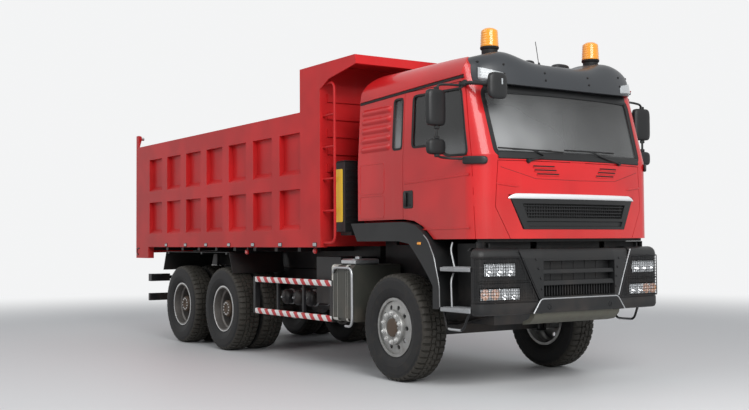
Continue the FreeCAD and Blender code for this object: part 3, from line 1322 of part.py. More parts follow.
node("rear_underrun", cut("underrun_bored", fuse(
    "underrun_whole", underrun_bar, tow_jaw, *rear_right,
    *[mirrored("rear_left_%d" % n, item) for n, item in enumerate(rear_right)]), tow_bore))

# Air duct behind the cab on its stand
duct_run = (behind(s.duct_back), behind(s.duct_front))
node("air_duct", fuse(
    "air_duct_whole",
    box("duct_box", duct_run, both(s.duct_inner, s.duct_half), (s.duct_low, s.duct_top)),
    box("duct_shelf", duct_run, both(s.frame_half, s.duct_half - s.crossmember),
        (s.duct_low - s.crossmember / 2, s.duct_low)),
    box("duct_stand", duct_run, both(s.frame_half, s.frame_half + s.crossmember / 2),
        (s.rail_top - s.crossmember, s.duct_low))))

# Tipping body: side walls of sheet and pressed posts, with two rows of pockets
bed_front = behind(s.cab_back) - s.bed_gap
bed_rear = tail + s.gate_rib + s.gate_wall + s.gate_gap
bed_outer = s.bed_half
sheet_inner = s.bed_half - s.bed_post_depth - s.bed_sheet
side_slab = box("side_slab", (bed_rear, bed_front), both(sheet_inner, bed_outer), (s.bed_rail_low, s.bed_top))
tall_post = box("tall_post", (bed_front - s.bed_front_post, bed_front), both(sheet_inner, bed_outer),
                (s.bed_rail_low, s.bed_front_top))
tail_post = box("tail_post", (bed_rear, bed_rear + s.bed_rear_post), both(sheet_inner, bed_outer),
                (s.gate_low - s.crossmember, s.bed_rail_low + s.overrun))
bay_start = bed_rear + s.bed_rear_post + s.bed_edge_land
bay_count = 7
bay_span = bed_front - s.bed_front_post - bay_start
bay_pitch = (bay_span + s.bed_bay_gap) / bay_count
bay_width = bay_pitch - s.bed_bay_gap
pocket_rows = ((s.pocket_low, s.pocket_mid_top), (s.pocket_mid_low, s.pocket_top))
pockets = []
for row, (low, high) in enumerate(pocket_rows):
    floor_line = bed_outer - s.bed_pocket_depth
    side_view = [(-1 * (bed_outer + s.overrun), low - s.overrun), (-1 * bed_outer, low),
                 (-1 * floor_line, low + s.pocket_slope), (-1 * floor_line, high),
                 (-1 * (bed_outer + s.overrun), high)]
    for number in range(bay_count):
        start = bay_start + bay_pitch * number
        pockets.append(prism("pocket_%d_%d" % (row, number), "YZ", side_view, start, start + bay_width))
lug_x = bed_rear + s.gate_hinge_back
gate_lug_band = both(s.gate_half + s.panel_gap, bed_outer)
gate_lug = box("gate_lug", (lug_x - s.gate_lug_radius, lug_x + s.gate_lug_radius), gate_lug_band,
               (s.bed_top, s.gate_hinge_z + s.gate_lug_radius))
gate_pin = rod("gate_pin", "Y", (lug_x, -1 * bed_outer, s.gate_hinge_z), s.gate_pin_radius,
               bed_outer - s.gate_half + s.gate_lug_wall * 2)
side_whole = fuse("bed_side_whole", side_slab, tall_post, tail_post, gate_lug, gate_pin)
side_right = cut("bed_side_right", side_whole, *pockets)
node("bed_sides", pair("bed_side_pair", side_right))

# Floor sheet on crossmembers and two long beams, which lie over the frame and end in the hinge lugs
floor_half = sheet_inner
floor_z = (s.bed_floor_low, s.bed_floor_low + s.bed_floor_wall)
floor_sheet = box("bed_floor_sheet", (bed_rear, bed_front - s.bed_front_wall), (-1 * floor_half, floor_half), floor_z)
beam_run = (hinge_place - s.hinge_lug_radius, bed_front - s.overrun / 4)
bed_beam = box("bed_beam", (hinge_place + s.hinge_lug_radius + s.knuckle_gap, beam_run[1]),
               both(s.frame_half - s.rail_flange, s.frame_half - s.knuckle_gap), (s.bed_beam_low, s.bed_floor_low))
hinge_lug = fuse(
    "hinge_lug",
    rod("hinge_lug_round", "Y", (hinge_place, -1 * lug_inner - s.hinge_lug_wall, s.hinge_z),
        s.hinge_lug_radius, s.hinge_lug_wall),
    box("hinge_lug_web", (hinge_place - s.hinge_lug_radius, hinge_place + s.hinge_lug_radius),
        both(lug_inner, lug_inner + s.hinge_lug_wall), (s.hinge_z, s.bed_floor_low)))
cross_count = 9
cross_pitch = (beam_run[1] - hinge_place) / cross_count
cross_z_band = (s.bed_floor_low - s.bed_cross_height, s.bed_floor_low)
bed_crosses = []
for number in range(cross_count):
    x = hinge_place - s.hinge_lug_radius + cross_pitch * number
    bed_crosses.append(box("bed_cross_%d" % number, (x, x + s.bed_cross_width), (-1 * floor_half, floor_half),
                           cross_z_band))
recess_run = (bed_front - s.recess_depth, bed_front + s.overrun)
recess_out = s.recess_half + s.recess_wall
recess_block = box("recess_block", (recess_run[0] - s.recess_wall, recess_run[1]), (-1 * recess_out, recess_out),
                   (s.bed_floor_low - s.overrun, s.recess_top + s.recess_wall))
floor_whole = fuse("bed_floor_whole", floor_sheet, bed_beam, mirrored("bed_beam_left", bed_beam), *bed_crosses,
                   hinge_lug, mirrored("hinge_lug_left", hinge_lug))
hinge_bore = rod("hinge_bore", "Y", (hinge_place, -1 * bed_outer, s.hinge_z),
                 s.hinge_pin_radius + s.shaft_play, bed_outer * 2)
node("bed_floor", cut("bed_floor_bored", floor_whole, hinge_bore, recess_block))

# Front wall with a recess for the cylinder, ribs, ears for the cylinder's eye, and the canopy
front_wall_x = (bed_front - s.bed_front_wall, bed_front)
front_sheet = box("front_sheet", front_wall_x, (-1 * sheet_inner, sheet_inner),
                  (s.bed_floor_low, s.bed_front_top - s.canopy_lip))
recess_shell = box("recess_shell", (recess_run[0] - s.recess_wall, front_wall_x[0]), (-1 * recess_out, recess_out),
                   (s.bed_floor_low, s.recess_top + s.recess_wall))
recess_room = box("recess_room", recess_run, (-1 * s.recess_half, s.recess_half),
                  (s.bed_floor_low - s.overrun, s.recess_top))
rib_rows = 5
rib_share = 0.45
rib_first = s.pocket_mid_low
rib_pitch = (s.ladder_top - rib_first) / rib_rows
rib_depth = s.bed_front_wall / 2
ribs = [box("front_rib_%d" % n, (bed_front, bed_front + rib_depth), (-1 * sheet_inner, sheet_inner),
            (rib_first + rib_pitch * n, rib_first + rib_pitch * (n + rib_share))) for n in range(rib_rows)]
canopy_points = [
    (bed_front, s.bed_front_top), (bed_front + s.canopy_reach - s.cab_wall / 2, s.bed_front_top),
    (bed_front + s.canopy_reach, s.bed_front_top - s.canopy_lip),
    (bed_front + s.canopy_depth, s.bed_front_top - s.canopy_depth),
    (bed_front, s.bed_front_top - s.canopy_depth * 3 / 2),
]
hood_top = s.bed_front_top - s.bed_sheet
hood_out = bed_front + s.canopy_reach - s.bed_sheet
hood_points = [(bed_front, hood_top), (hood_out - s.cab_wall / 2, hood_top),
               (hood_out, s.bed_front_top - s.canopy_lip - s.overrun),
               (bed_front, s.bed_front_top - s.canopy_depth * 3)]
canopy = cut("canopy", prism("canopy_block", "XZ", canopy_points, -1 * bed_outer, bed_outer),
             prism("canopy_room", "XZ", hood_points, s.bed_sheet - bed_outer, bed_outer - s.bed_sheet))
canopy_roof = box("canopy_roof", front_wall_x, (-1 * sheet_inner, sheet_inner),
                  (s.bed_front_top - s.canopy_lip, s.bed_front_top))

# The cylinder's eye lies as far from the hinge as its foot does, so the cylinder turns half as fast
foot_x = (hoist_place - hinge_place).value
foot_z = (s.hoist_z - s.hinge_z).value
foot_reach = math.hypot(foot_x, foot_z)
apex = 2 * math.asin(s.hoist_closed.value / (2 * foot_reach))
eye_angle = math.atan2(foot_z, foot_x) + apex
eye_x = worked_out("eye_reach", foot_reach * math.cos(eye_angle)) + hinge_place
eye_z = worked_out("eye_rise", foot_reach * math.sin(eye_angle)) + s.hinge_z
ear_x = (bed_front, eye_x + s.eye_radius)
ear = box("hoist_ear", ear_x, both(s.ear_half, s.ear_half + s.ear_wall), (eye_z - s.eye_radius, eye_z + s.eye_radius))
front_parts = fuse("bed_front_whole", front_sheet, recess_shell, *ribs, canopy, canopy_roof)
front_cut = cut("bed_front_cut", front_parts, recess_room)
ear_room = box("ear_room", (bed_front, bed_front + s.canopy_reach), (-1 * s.ear_half, s.ear_half),
               (s.recess_top, eye_z + s.overrun))
node("bed_front", cut("bed_front_panel", fuse("bed_front_eared", front_cut, ear, mirrored("hoist_ear_left", ear)),
                      ear_room))

# Ladder on the right front corner of the body
ladder_out = bed_front + s.ladder_reach
ladder_y = -1 * s.ladder_half
ladder_parts = [bar("ladder_rail", (ladder_out, ladder_y, s.ladder_low), (ladder_out, ladder_y, s.ladder_top),
                    s.ladder_radius)]
rung_count = 6
rung_pitch = (s.ladder_top - s.ladder_low) / (rung_count - 1)
for number in range(rung_count):
    z = s.ladder_low + rung_pitch * number
    ladder_parts.append(rod("ladder_rung_%d" % number, "X", (bed_front, ladder_y, z), s.ladder_radius,
                            s.ladder_reach))
node("bed_ladder", fuse("ladder", *ladder_parts))

# Tailgate: hung from the pins over the rear posts, with upright ribs on its outside
gate_x = (bed_rear - s.gate_gap - s.gate_wall, bed_rear - s.gate_gap)
gate_sheet = box("gate_sheet", gate_x, (-1 * s.gate_half, s.gate_half), (s.gate_low, s.gate_top))
gate_rib_count = 6
gate_rib_width = s.bed_bay_gap / 2
gate_rib_pitch = (s.gate_half * 2 - gate_rib_width) / (gate_rib_count - 1)
gate_ribs = [box("gate_rib_%d" % n, (tail, gate_x[0]),
                 (gate_rib_pitch * n - s.gate_half, gate_rib_pitch * n - s.gate_half + gate_rib_width),
                 (s.gate_low, s.gate_top)) for n in range(gate_rib_count)]
gate_arm_band = both(s.gate_half - s.gate_lug_wall, s.gate_half)
gate_arm = fuse(
    "gate_arm",
    rod("gate_arm_eye", "Y", (lug_x, -1 * s.gate_half, s.gate_hinge_z), s.gate_lug_radius, s.gate_lug_wall),
    prism("gate_arm_web", "XZ", [
        (gate_x[0], s.gate_top - s.overrun), (gate_x[1], s.gate_top - s.overrun), (gate_x[1], s.gate_top),
        (lug_x + s.gate_lug_radius * 2 / 3, s.gate_hinge_z - s.gate_lug_radius * 2 / 3),
        (lug_x - s.gate_lug_radius * 2 / 3, s.gate_hinge_z + s.gate_lug_radius * 2 / 3),
        (gate_x[0], s.gate_top)], *gate_arm_band))
gate_bore = rod("gate_bore", "Y", (lug_x, -1 * bed_outer - s.overrun, s.gate_hinge_z),
                s.gate_pin_radius + s.shaft_play, bed_outer * 2 + s.overrun * 2)
node("tailgate", cut("gate_bored", fuse("gate_whole", gate_sheet, *gate_ribs, gate_arm,
                                        mirrored("gate_arm_left", gate_arm)), gate_bore))

# Telescopic cylinder, closed: four stages inside the barrel, all along the line from foot to eye
lean = math.degrees(math.atan2(eye_x.value - hoist_place.value, eye_z.value - s.hoist_z.value))
along_cylinder = FreeCAD.Rotation(FreeCAD.Vector(0, 1, 0), lean)


def on_cylinder(item):
    item.Placement.Rotation = along_cylinder
    return place(item, hoist_place, 0, s.hoist_z)


def sleeve(name, outer, bore, low, high):
    """A tube along the cylinder's line, or a solid bar where it has no bore."""
    body = rod(name + "_body", "Z", (0, 0, low), outer, as_length(high) - low)
    if bore is None:
        return body
    room = rod(name + "_room", "Z", (0, 0, low + s.hoist_head), bore, as_length(high) - low)
    return cut(name + "_tube", body, room)


stage_count = 4
barrel_foot = s.trunnion_radius + s.hoist_head / 2
trunnion = rod("trunnion", "Y", (0, -1 * s.trunnion_half, 0), s.trunnion_radius, s.trunnion_half * 2)
barrel_block = rod("barrel_block", "Z", (0, 0, -1 * s.trunnion_radius), s.hoist_outer - s.hoist_step,
                   s.trunnion_radius + barrel_foot)
barrel = sleeve("barrel", s.hoist_outer, s.hoist_outer - s.hoist_step + s.hoist_play, barrel_foot, s.hoist_barrel)
node("hoist_barrel", on_cylinder(fuse("hoist_barrel_whole", barrel, barrel_block, trunnion)))
for number in range(1, stage_count + 1):
    outer = s.hoist_outer - s.hoist_step * number
    low = barrel_foot + s.hoist_head * number + s.hoist_play * number
    high = s.hoist_barrel + s.hoist_head * number
    last = number == stage_count
    bore = None if last else outer - s.hoist_step + s.hoist_play
    stage = sleeve("stage_%d" % number, outer, bore, low, high)
    if last:
        stage = fuse(
            "stage_last", stage,
            rod("stage_neck", "Z", (0, 0, high), outer * 3 / 4, s.hoist_closed - high),
            rod("stage_eye", "Y", (0, -1 * s.eye_width / 2, s.hoist_closed), s.eye_radius, s.eye_width),
            rod("stage_pin", "Y", (0, -1 * s.eye_pin_half, s.hoist_closed), s.eye_radius / 2, s.eye_pin_half * 2))
    node("hoist_stage_%d" % number, on_cylinder(stage))

doc.recompute()

failed = [item.Name for item in doc.Objects if "Invalid" in item.State or "Error" in item.State]
if failed:
    raise RuntimeError("objects that could not be made: " + ", ".join(failed))
for name, item in NODES.items():
    if item.Shape.isNull() or not item.Shape.isValid() or not item.Shape.Solids:
        raise RuntimeError("no sound solid in " + name)

os.makedirs("parts", exist_ok=True)
for name, item in NODES.items():
    item.Shape.exportStep("parts/%s.step" % name)
print("%d nodes, %d solids" % (len(NODES), sum(len(item.Shape.Solids) for item in NODES.values())))
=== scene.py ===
# %% [markdown]
# A three-axle dump truck, dressed around its CAD model. The CAD gives every rigid solid its place; this
# script gives each solid its finish, and adds what is too fine or too smooth for it: tyre treads, wheel
# nuts, lamps, wipers, mirrors and trim.
# %% Load the frame
import math

import bpy
import numpy as np
from mathutils import Matrix, Vector


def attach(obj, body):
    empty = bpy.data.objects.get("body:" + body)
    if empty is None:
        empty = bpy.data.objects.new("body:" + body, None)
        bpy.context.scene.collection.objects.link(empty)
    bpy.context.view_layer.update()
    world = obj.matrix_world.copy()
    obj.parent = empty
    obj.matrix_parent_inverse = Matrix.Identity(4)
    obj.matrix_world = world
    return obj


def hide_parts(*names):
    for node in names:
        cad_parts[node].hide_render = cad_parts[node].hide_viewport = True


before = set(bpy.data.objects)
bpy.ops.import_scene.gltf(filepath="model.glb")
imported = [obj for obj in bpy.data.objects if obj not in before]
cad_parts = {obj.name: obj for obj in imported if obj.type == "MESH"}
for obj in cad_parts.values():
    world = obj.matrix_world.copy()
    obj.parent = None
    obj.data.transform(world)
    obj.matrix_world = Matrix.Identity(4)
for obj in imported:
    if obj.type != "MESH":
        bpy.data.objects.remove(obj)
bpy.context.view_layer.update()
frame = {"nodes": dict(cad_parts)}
nodes = frame["nodes"]

# %% [markdown]
# The truck's own sizes, in metres, from the ground up. Lengths are counted from the front axle, because the
# cab, the steps and the bumper all gather around it; each finished piece is moved from there into the CAD's
# frame.
# %% Sizes that the pieces share
FRONT_AXLE = 2.7475
MIDDLE_AXLE = -3.825
REAR_AXLE = MIDDLE_AXLE - 1.35
TYRE_RADIUS = 0.5425
WHEELS = {                          # place along the truck, distances of the tyres from the middle, body
    "front_right": (0.0, (1.011,), "right_front_wheel"),
    "front_left": (0.0, (1.011,), "left_front_wheel"),
    "middle_right": (MIDDLE_AXLE, (0.740, 1.090), "right_middle_twins"),
    "middle_left": (MIDDLE_AXLE, (0.740, 1.090), "left_middle_twins"),
    "rear_right": (REAR_AXLE, (0.740, 1.090), "right_rear_twins"),
    "rear_left": (REAR_AXLE, (0.740, 1.090), "left_rear_twins"),
}
TYRE_NODES = {name: "tyre%s_%s" % ("" if "front" in name else "s", name) for name in WHEELS}
print("front axle at", FRONT_AXLE, "and behind it", MIDDLE_AXLE, REAR_AXLE)

# %% [markdown]
# The camera stands low, in front of the truck's right corner, and looks up a little. Its place, direction
# and focal length were solved from points of the truck whose real places are known, such as wheel centres
# and corners of the body. A long lens keeps the body from shrinking too fast towards its tail.
# %% Camera
def aim(yaw, pitch, roll):
    """A camera's turn from yaw about Z, pitch below the horizon and roll about the line of sight."""
    ahead = Vector((-math.sin(yaw) * math.cos(pitch), math.cos(yaw) * math.cos(pitch), -math.sin(pitch)))
    right = Vector((math.cos(yaw), math.sin(yaw), 0.0))
    up = right.cross(ahead)
    tilted_right = right * math.cos(roll) + up * math.sin(roll)
    tilted_up = up * math.cos(roll) - right * math.sin(roll)
    return Matrix((tilted_right, tilted_up, -ahead)).transposed().to_4x4()


lens_data = bpy.data.cameras.new("camera")
lens_data.lens = 49.45
lens_data.sensor_width = 36.0
lens_data.clip_end = 200.0
camera = bpy.data.objects.new("camera", lens_data)
bpy.context.collection.objects.link(camera)
camera.matrix_world = Matrix.Translation((8.567 + FRONT_AXLE, -7.085, 1.407)) @ aim(
    math.radians(56.28), math.radians(-2.05), math.radians(-0.36))
bpy.context.scene.camera = camera
print("camera", tuple(round(v, 3) for v in camera.location), "lens", lens_data.lens)

# %% [markdown]
# Shader maths reads best as arithmetic. A `Value` holds one socket, and its operators add Math nodes, so
# that `1 - mask` is a node like any other. `Nodes` is a tree that they are added to, by a method that takes
# a node's settings first and its sockets after, and a `Finish` is the tree of a material with one
# Principled shader.
# %% Shader helpers
class Value:
    """One number of a node tree. Arithmetic on it adds Math nodes."""

    def __init__(self, nodes, socket):
        self.nodes, self.socket = nodes, socket

    def math(self, operation, *others):
        return self.nodes.node("ShaderNodeMath", {"operation": operation}, (self, *others))

    def __add__(self, other): return self.math("ADD", other)
    def __radd__(self, other): return self.math("ADD", other)
    def __sub__(self, other): return self.math("SUBTRACT", other)
    def __rsub__(self, other): return (self * -1.0) + other
    def __mul__(self, other): return self.math("MULTIPLY", other)
    def __rmul__(self, other): return self.math("MULTIPLY", other)
    def __truediv__(self, other): return self.math("DIVIDE", other)
    def __rtruediv__(self, other): return self.math("POWER", -1.0) * other
    def sin(self): return self.math("SINE")
    def fraction(self): return self.math("FRACT")

    def smooth(self, low, high):
        """0 below low, 1 above high, and a soft step between them."""
        return self.nodes.node("ShaderNodeMapRange", {"interpolation_type": "SMOOTHSTEP"},
                               {"Value": self, "From Min": low, "From Max": high})


class Nodes:
    """A node tree of a material or of the world."""

    def __init__(self, tree):
        self.tree = tree

    def node(self, kind, settings=None, sockets=None, out=0):
        """Add a node: settings first, such as an operation, then its sockets."""
        made = self.tree.nodes.new(kind)
        for name, value in (settings or {}).items():
            setattr(made, name, value)
        named = enumerate(sockets or ()) if not isinstance(sockets, dict) else sockets.items()
        for name, value in named:
            self.join(value, made.inputs[name])
        return Value(self, made.outputs[out])

    def join(self, value, socket):
        if isinstance(value, Value):
            self.tree.links.new(value.socket, socket)
        else:
            socket.default_value = value

    def mix(self, factor, first, second):
        """Blend two colours by a number."""
        pair = [(*c, 1.0) if isinstance(c, tuple) and len(c) == 3 else c for c in (first, second)]
        return self.node("ShaderNodeMix", {"data_type": "RGBA"}, {0: factor, 6: pair[0], 7: pair[1]}, out=2)


class Finish(Nodes):
    """A material with one Principled shader."""

    def __init__(self, name, **sockets):
        self.material = bpy.data.materials.new(name)
        self.material.use_nodes = True
        super().__init__(self.material.node_tree)
        self.shader = self.tree.nodes["Principled BSDF"]
        self.give(**sockets)

    def give(self, **sockets):
        """Set or link the shader's own sockets, written with underscores for spaces."""
        for name, value in sockets.items():
            if isinstance(value, tuple) and len(value) == 3:
                value = (*value, 1.0)
            self.join(value, self.shader.inputs[name.replace("_", " ")])
        return self

    def place(self, axis=None):
        """The point on the object, or one of its coordinates."""
        point = self.node("ShaderNodeTexCoord", out="Object")
        if axis is None:
            return point
        return self.node("ShaderNodeSeparateXYZ", None, (point,), out=axis)

    def noise(self, scale, detail=3.0, rough=0.5, stretch=None):
        """Soft noise; stretch multiplies the coordinates, so small numbers draw it out into streaks."""
        point = self.place()
        if stretch is not None:
            point = self.node("ShaderNodeMapping", None, {"Vector": point, "Scale": stretch})
        return self.node("ShaderNodeTexNoise", None,
                         {"Vector": point, "Scale": scale, "Detail": detail, "Roughness": rough})

    def bump(self, height, strength, distance):
        normal = self.node("ShaderNodeBump", None,
                           {"Strength": strength, "Distance": distance, "Height": height})
        return self.give(Normal=normal)


print("shader helpers ready")

# %% [markdown]
# Truck paint is a coloured layer under clear lacquer. The colour drifts very slightly over a panel, the
# lacquer has a fine orange peel, and dust settles in a veil near the bottom edges. The body behind the cab is
# sprayed in the same red but without the lacquer, so it is duller and shows its streaks.
# %% Paints
RED = (0.520, 0.012, 0.014)
DUST = (0.30, 0.22, 0.17)


def red_paint(name, rough, lacquer, dust_top):
    """Red with a slow drift, streaks, and a veil of dust below dust_top."""
    finish = Finish(name, Specular_IOR_Level=0.25)
    height = finish.place("Z")
    drift = finish.noise(1.6, 2.0)
    shade = finish.mix(drift.smooth(0.35, 0.65), tuple(c * 0.88 for c in RED), tuple(c * 1.08 for c in RED))
    streak = finish.noise(9.0, 5.0, 0.6, (1.0, 1.0, 0.12)).smooth(0.50, 0.75)
    veil = (1.0 - height.smooth(dust_top - 0.7, dust_top)) * 0.05 + streak * 0.03
    dusty = finish.mix(veil, shade, DUST)
    peel = finish.noise(260.0, 1.0)
    finish.give(Base_Color=dusty, Roughness=veil * 0.5 + rough, Coat_Weight=lacquer, Coat_Roughness=0.06)
    return finish.bump(peel, 0.05, 0.0006).material


def two_tone(name, level):
    """The floor's underside: black subframe paint up to a height, the body's red above it."""
    finish = Finish(name, Specular_IOR_Level=0.25, Roughness=0.42)
    above = finish.place("Z").smooth(level - 0.002, level + 0.002)
    cloud = finish.noise(4.0, 4.0).smooth(0.40, 0.70)
    dark = finish.mix(cloud, (0.010, 0.010, 0.011), (0.030, 0.026, 0.023))
    return finish.give(Base_Color=finish.mix(above, dark, RED)).material


cab_red = red_paint("cab_red", 0.36, 0.32, 2.1)
body_red = red_paint("body_red", 0.46, 0.04, 1.9)
bed_under = two_tone("bed_under", 1.358)
print("paints", cab_red.name, body_red.name, bed_under.name)

# %% [markdown]
# Black on a truck is never one black. Moulded bumper plastic has a fine leather-like grain, chassis paint is
# thick and slightly wavy with road dust on it, and rubber is the darkest and dullest.
# %% Blacks and greys
def grained(name, colour, rough, scale=420.0, depth=0.25, dust=0.10):
    """A fine leathery grain, with road dust in the lower parts."""
    finish = Finish(name, Specular_IOR_Level=0.32)
    grain = finish.node("ShaderNodeTexVoronoi", {"feature": "F1"}, {"Vector": finish.place(), "Scale": scale})
    cloud = finish.noise(3.0, 4.0).smooth(0.40, 0.72)
    low = 1.0 - finish.place("Z").smooth(0.3, 1.6)
    veil = cloud * low * dust
    finish.give(Base_Color=finish.mix(veil, colour, DUST), Roughness=cloud * 0.10 + rough)
    return finish.bump(grain, depth, 0.0005).material


bumper_black = grained("bumper_black", (0.011, 0.0115, 0.012), 0.42)
visor_grey = grained("visor_grey", (0.036, 0.039, 0.043), 0.32, 500.0, 0.15, 0.0)
chassis_black = grained("chassis_black", (0.009, 0.009, 0.010), 0.40, 60.0, 0.12, 0.12)
cast_grey = grained("cast_grey", (0.075, 0.076, 0.078), 0.60, 240.0, 0.4, 0.25)
tank_olive = grained("tank_olive", (0.050, 0.051, 0.043), 0.38, 60.0, 0.10, 0.18)
cab_inside = grained("cab_inside", (0.085, 0.085, 0.082), 0.70, 700.0, 0.3, 0.0)


def rubber(name, colour):
    finish = Finish(name, Specular_IOR_Level=0.30)
    dust = finish.noise(14.0, 5.0, 0.62).smooth(0.45, 0.80)
    fine = finish.noise(180.0, 3.0)
    finish.give(Base_Color=finish.mix(dust * 0.16, colour, (0.12, 0.10, 0.08)), Roughness=dust * 0.12 + 0.62)
    return finish.bump(fine, 0.15, 0.001).material


tyre_black = rubber("tyre_black", (0.013, 0.013, 0.0135))
seal_and_shade_black = rubber("seal_and_shade_black", (0.006, 0.006, 0.0065))
print("blacks and greys ready")

# %% [markdown]
# Bright metal: sprayed silver on the front wheels, dull on the rear ones, which are darkened partly by dust
# and partly as painted shade for their deep dishes, plain steel on the tank frame and steps, plated rods in
# the cylinder, and the satin strip over the grille. Dirt gathers in soft clouds.
# %% Metals
def metal(name, colour, rough, metallic=1.0, brush=None, dirt=0.0):
    finish = Finish(name, Metallic=metallic)
    cloud = finish.noise(11.0, 5.0, 0.6).smooth(0.42, 0.78)
    finish.give(Base_Color=finish.mix(cloud * dirt, colour, (0.10, 0.085, 0.07)),
                Roughness=cloud * 0.14 + rough)
    if brush is not None:
        finish.bump(finish.noise(90.0, 2.0, 0.5, brush), 0.12, 0.0008)
    return finish.material


wheel_silver = metal("wheel_silver", (0.33, 0.33, 0.32), 0.36, 0.60, (1.0, 1.0, 1.0), 0.45)
# Rear wheels: dark partly from dust and partly as painted shade for their deep dishes.
wheel_dust_and_shade = metal("wheel_dust_and_shade", (0.185, 0.175, 0.165), 0.45, 0.5, None, 0.55)
plain_steel = metal("plain_steel", (0.46, 0.47, 0.48), 0.34, 0.85, (8.0, 0.4, 8.0), 0.25)
plated = metal("plated", (0.78, 0.79, 0.80), 0.10)
satin_strip = metal("satin_strip", (0.80, 0.81, 0.82), 0.30, 0.55)
mirror_face = metal("mirror_face", (0.86, 0.87, 0.88), 0.03)
print("metals ready")

# %% [markdown]
# Glass is thin and dark from outside, because the cab behind it is dark; what one sees is the sky in it. The
# windows carry it as a painted reflection in their colour, light towards the lower edge. The lamps are clear
# lenses over a bright reflector, and the beacons are amber.
# %% Glass and lenses
def lens(name, colour, alpha, rough=0.04, ribs=None):
    """A clear or coloured cover; ribs gives the waves per metre of height, in radians."""
    finish = Finish(name, Base_Color=colour, Roughness=rough, Alpha=alpha, IOR=1.5, Coat_Weight=0.6)
    if ribs is not None:
        finish.bump((finish.place("Z") * ribs).sin(), 0.5, 0.002)
    return finish.material


def pane(name, alpha, low, high, spread, bright):
    """A window with a painted reflection of the ground: light near its lower edge, dark towards the top."""
    finish = Finish(name, Roughness=0.04, Alpha=alpha)
    rise = finish.place("Z").smooth(low, high)
    cloud = finish.noise(1.3, 2.0).smooth(0.30, 0.70) * 0.5
    across = 1.0 - finish.place("Y").smooth(-0.9, 0.5) * spread
    # Painted reflection: light low on the glass and, on the windscreen, towards the truck's right side.
    painted_reflection = (1.0 - rise) * (cloud + 0.5) * across
    colour = finish.mix(painted_reflection, (0.016, 0.017, 0.017), (bright, bright * 1.02, bright * 1.02))
    return finish.give(Base_Color=colour).material


window = pane("window", 0.74, 2.20, 2.98, 0.70, 0.40)
side_window = pane("side_window", 0.84, 2.00, 2.50, 0.0, 0.26)
lamp_lens = lens("lamp_lens", (0.80, 0.83, 0.85), 0.42)
white_lens = lens("white_lens", (0.38, 0.40, 0.41), 1.0, 0.10, 400.0)
amber_lens = lens("amber_lens", (0.84, 0.31, 0.010), 1.0, 0.12, 260.0)
red_lens = lens("red_lens", (0.55, 0.02, 0.02), 1.0, 0.12, 400.0)
print("glass ready")

# %% [markdown]
# The side guards carry a red and white warning band: parallelograms leaning along the rail. The pattern is
# worked out from the place along the truck and the height, so it follows both rails without a picture. The
# seats' cloth is woven in the same way, from the product of two waves.
# %% Warning bands and seat cloth
BAND_PITCH = 0.182
bands = Finish("guard_bands")
phase = (bands.place("X") / BAND_PITCH + bands.place("Z") / BAND_PITCH).fraction()
stripe = phase.smooth(0.48, 0.52) * (1.0 - phase.smooth(0.96, 1.0))
grime = bands.noise(7.0, 5.0, 0.6).smooth(0.5, 0.8) * 0.25
painted = bands.mix(stripe, (0.78, 0.77, 0.75), (0.50, 0.02, 0.025))
guard_bands = bands.give(Base_Color=bands.mix(grime, painted, DUST), Roughness=grime * 0.6 + 0.4).material
THREADS = 1800.0
seat_finish = Finish("seat_cloth", Roughness=0.9)
weave = (seat_finish.place("Y") * THREADS).sin() * (seat_finish.place("Z") * THREADS).sin()
seat_finish.give(Base_Color=seat_finish.mix(weave.smooth(-0.5, 0.5), (0.05, 0.05, 0.055),
                                            (0.085, 0.085, 0.09)))
seat_cloth = seat_finish.bump(weave, 0.3, 0.0008).material
print("bands and cloth ready")

# %% [markdown]
# Each CAD solid that stays in view gets its finish here. A node's object keeps its mesh; only the material in
# its slot changes.
# %% Finishes for the CAD solids
NODE_FINISH = {
    cab_red: ("cab_back", "cab_sides", "cab_roof", "cab_front", "door_right", "door_left", "front_flap"),
    body_red: ("bed_sides", "bed_front", "bed_ladder", "tailgate"),
    visor_grey: ("visor",),
    bumper_black: ("bumper", "steps", "fenders", "rear_mudguards", "grille", "mirror_right", "mirror_left",
                   "air_duct"),
    # cab_floor holds the cab's black mounting arms and its underside, which is red on the real truck; its
    # black there is painted shade.
    chassis_black: ("frame", "front_axle", "rear_axles", "springs", "rear_underrun", "battery_box",
                    "air_tanks", "knuckle_right", "knuckle_left", "hoist_barrel", "cab_floor"),
    cast_grey: ("engine", "driveline"),
    tank_olive: ("tanks",),
    bed_under: ("bed_floor",),
    plated: ("hoist_stage_1", "hoist_stage_2", "hoist_stage_3", "hoist_stage_4"),
    window: ("cab_glass",),
    side_window: ("door_glass_right", "door_glass_left"),
    guard_bands: ("side_guards",),
    seat_cloth: ("seats",),
    cab_inside: ("dashboard",),
    amber_lens: ("beacons",),
    lamp_lens: ("headlamps",),
    tyre_black: tuple(TYRE_NODES.values()),
    wheel_silver: tuple("wheel_" + name for name in WHEELS if "front" in name),
    wheel_dust_and_shade: tuple("wheels_" + name for name in WHEELS if "front" not in name),
}
for material, names in NODE_FINISH.items():
    for name in names:
        slots = nodes[name].data.materials
        slots.clear()
        slots.append(material)
print("finishes given to", sum(len(names) for names in NODE_FINISH.values()), "CAD solids")

# %% [markdown]
# A pale floor runs into a white surround. The surround looks white to the camera, and so it does in glass
# and metal, but it lights the truck with a softer grey, so that the paint renders about as it is written.
# Far from the truck the floor fades into the same white, which hides its edge and keeps the truck's shadow.
# %% Floor and light
BACKGROUND = (0.90, 0.905, 0.91, 1.0)
SKY = (0.34, 0.355, 0.375, 1.0)
FLOOR_REACH = 60.0


def seen_straight(nodes):
    """1 for what the camera sees, also off metal or through glass, and 0 for what only lights the truck."""
    seen = nodes.node("ShaderNodeLightPath", out="Is Camera Ray")
    for kind in ("Is Glossy Ray", "Is Transmission Ray"):
        seen = seen.math("MAXIMUM", nodes.node("ShaderNodeLightPath", out=kind))
    return seen


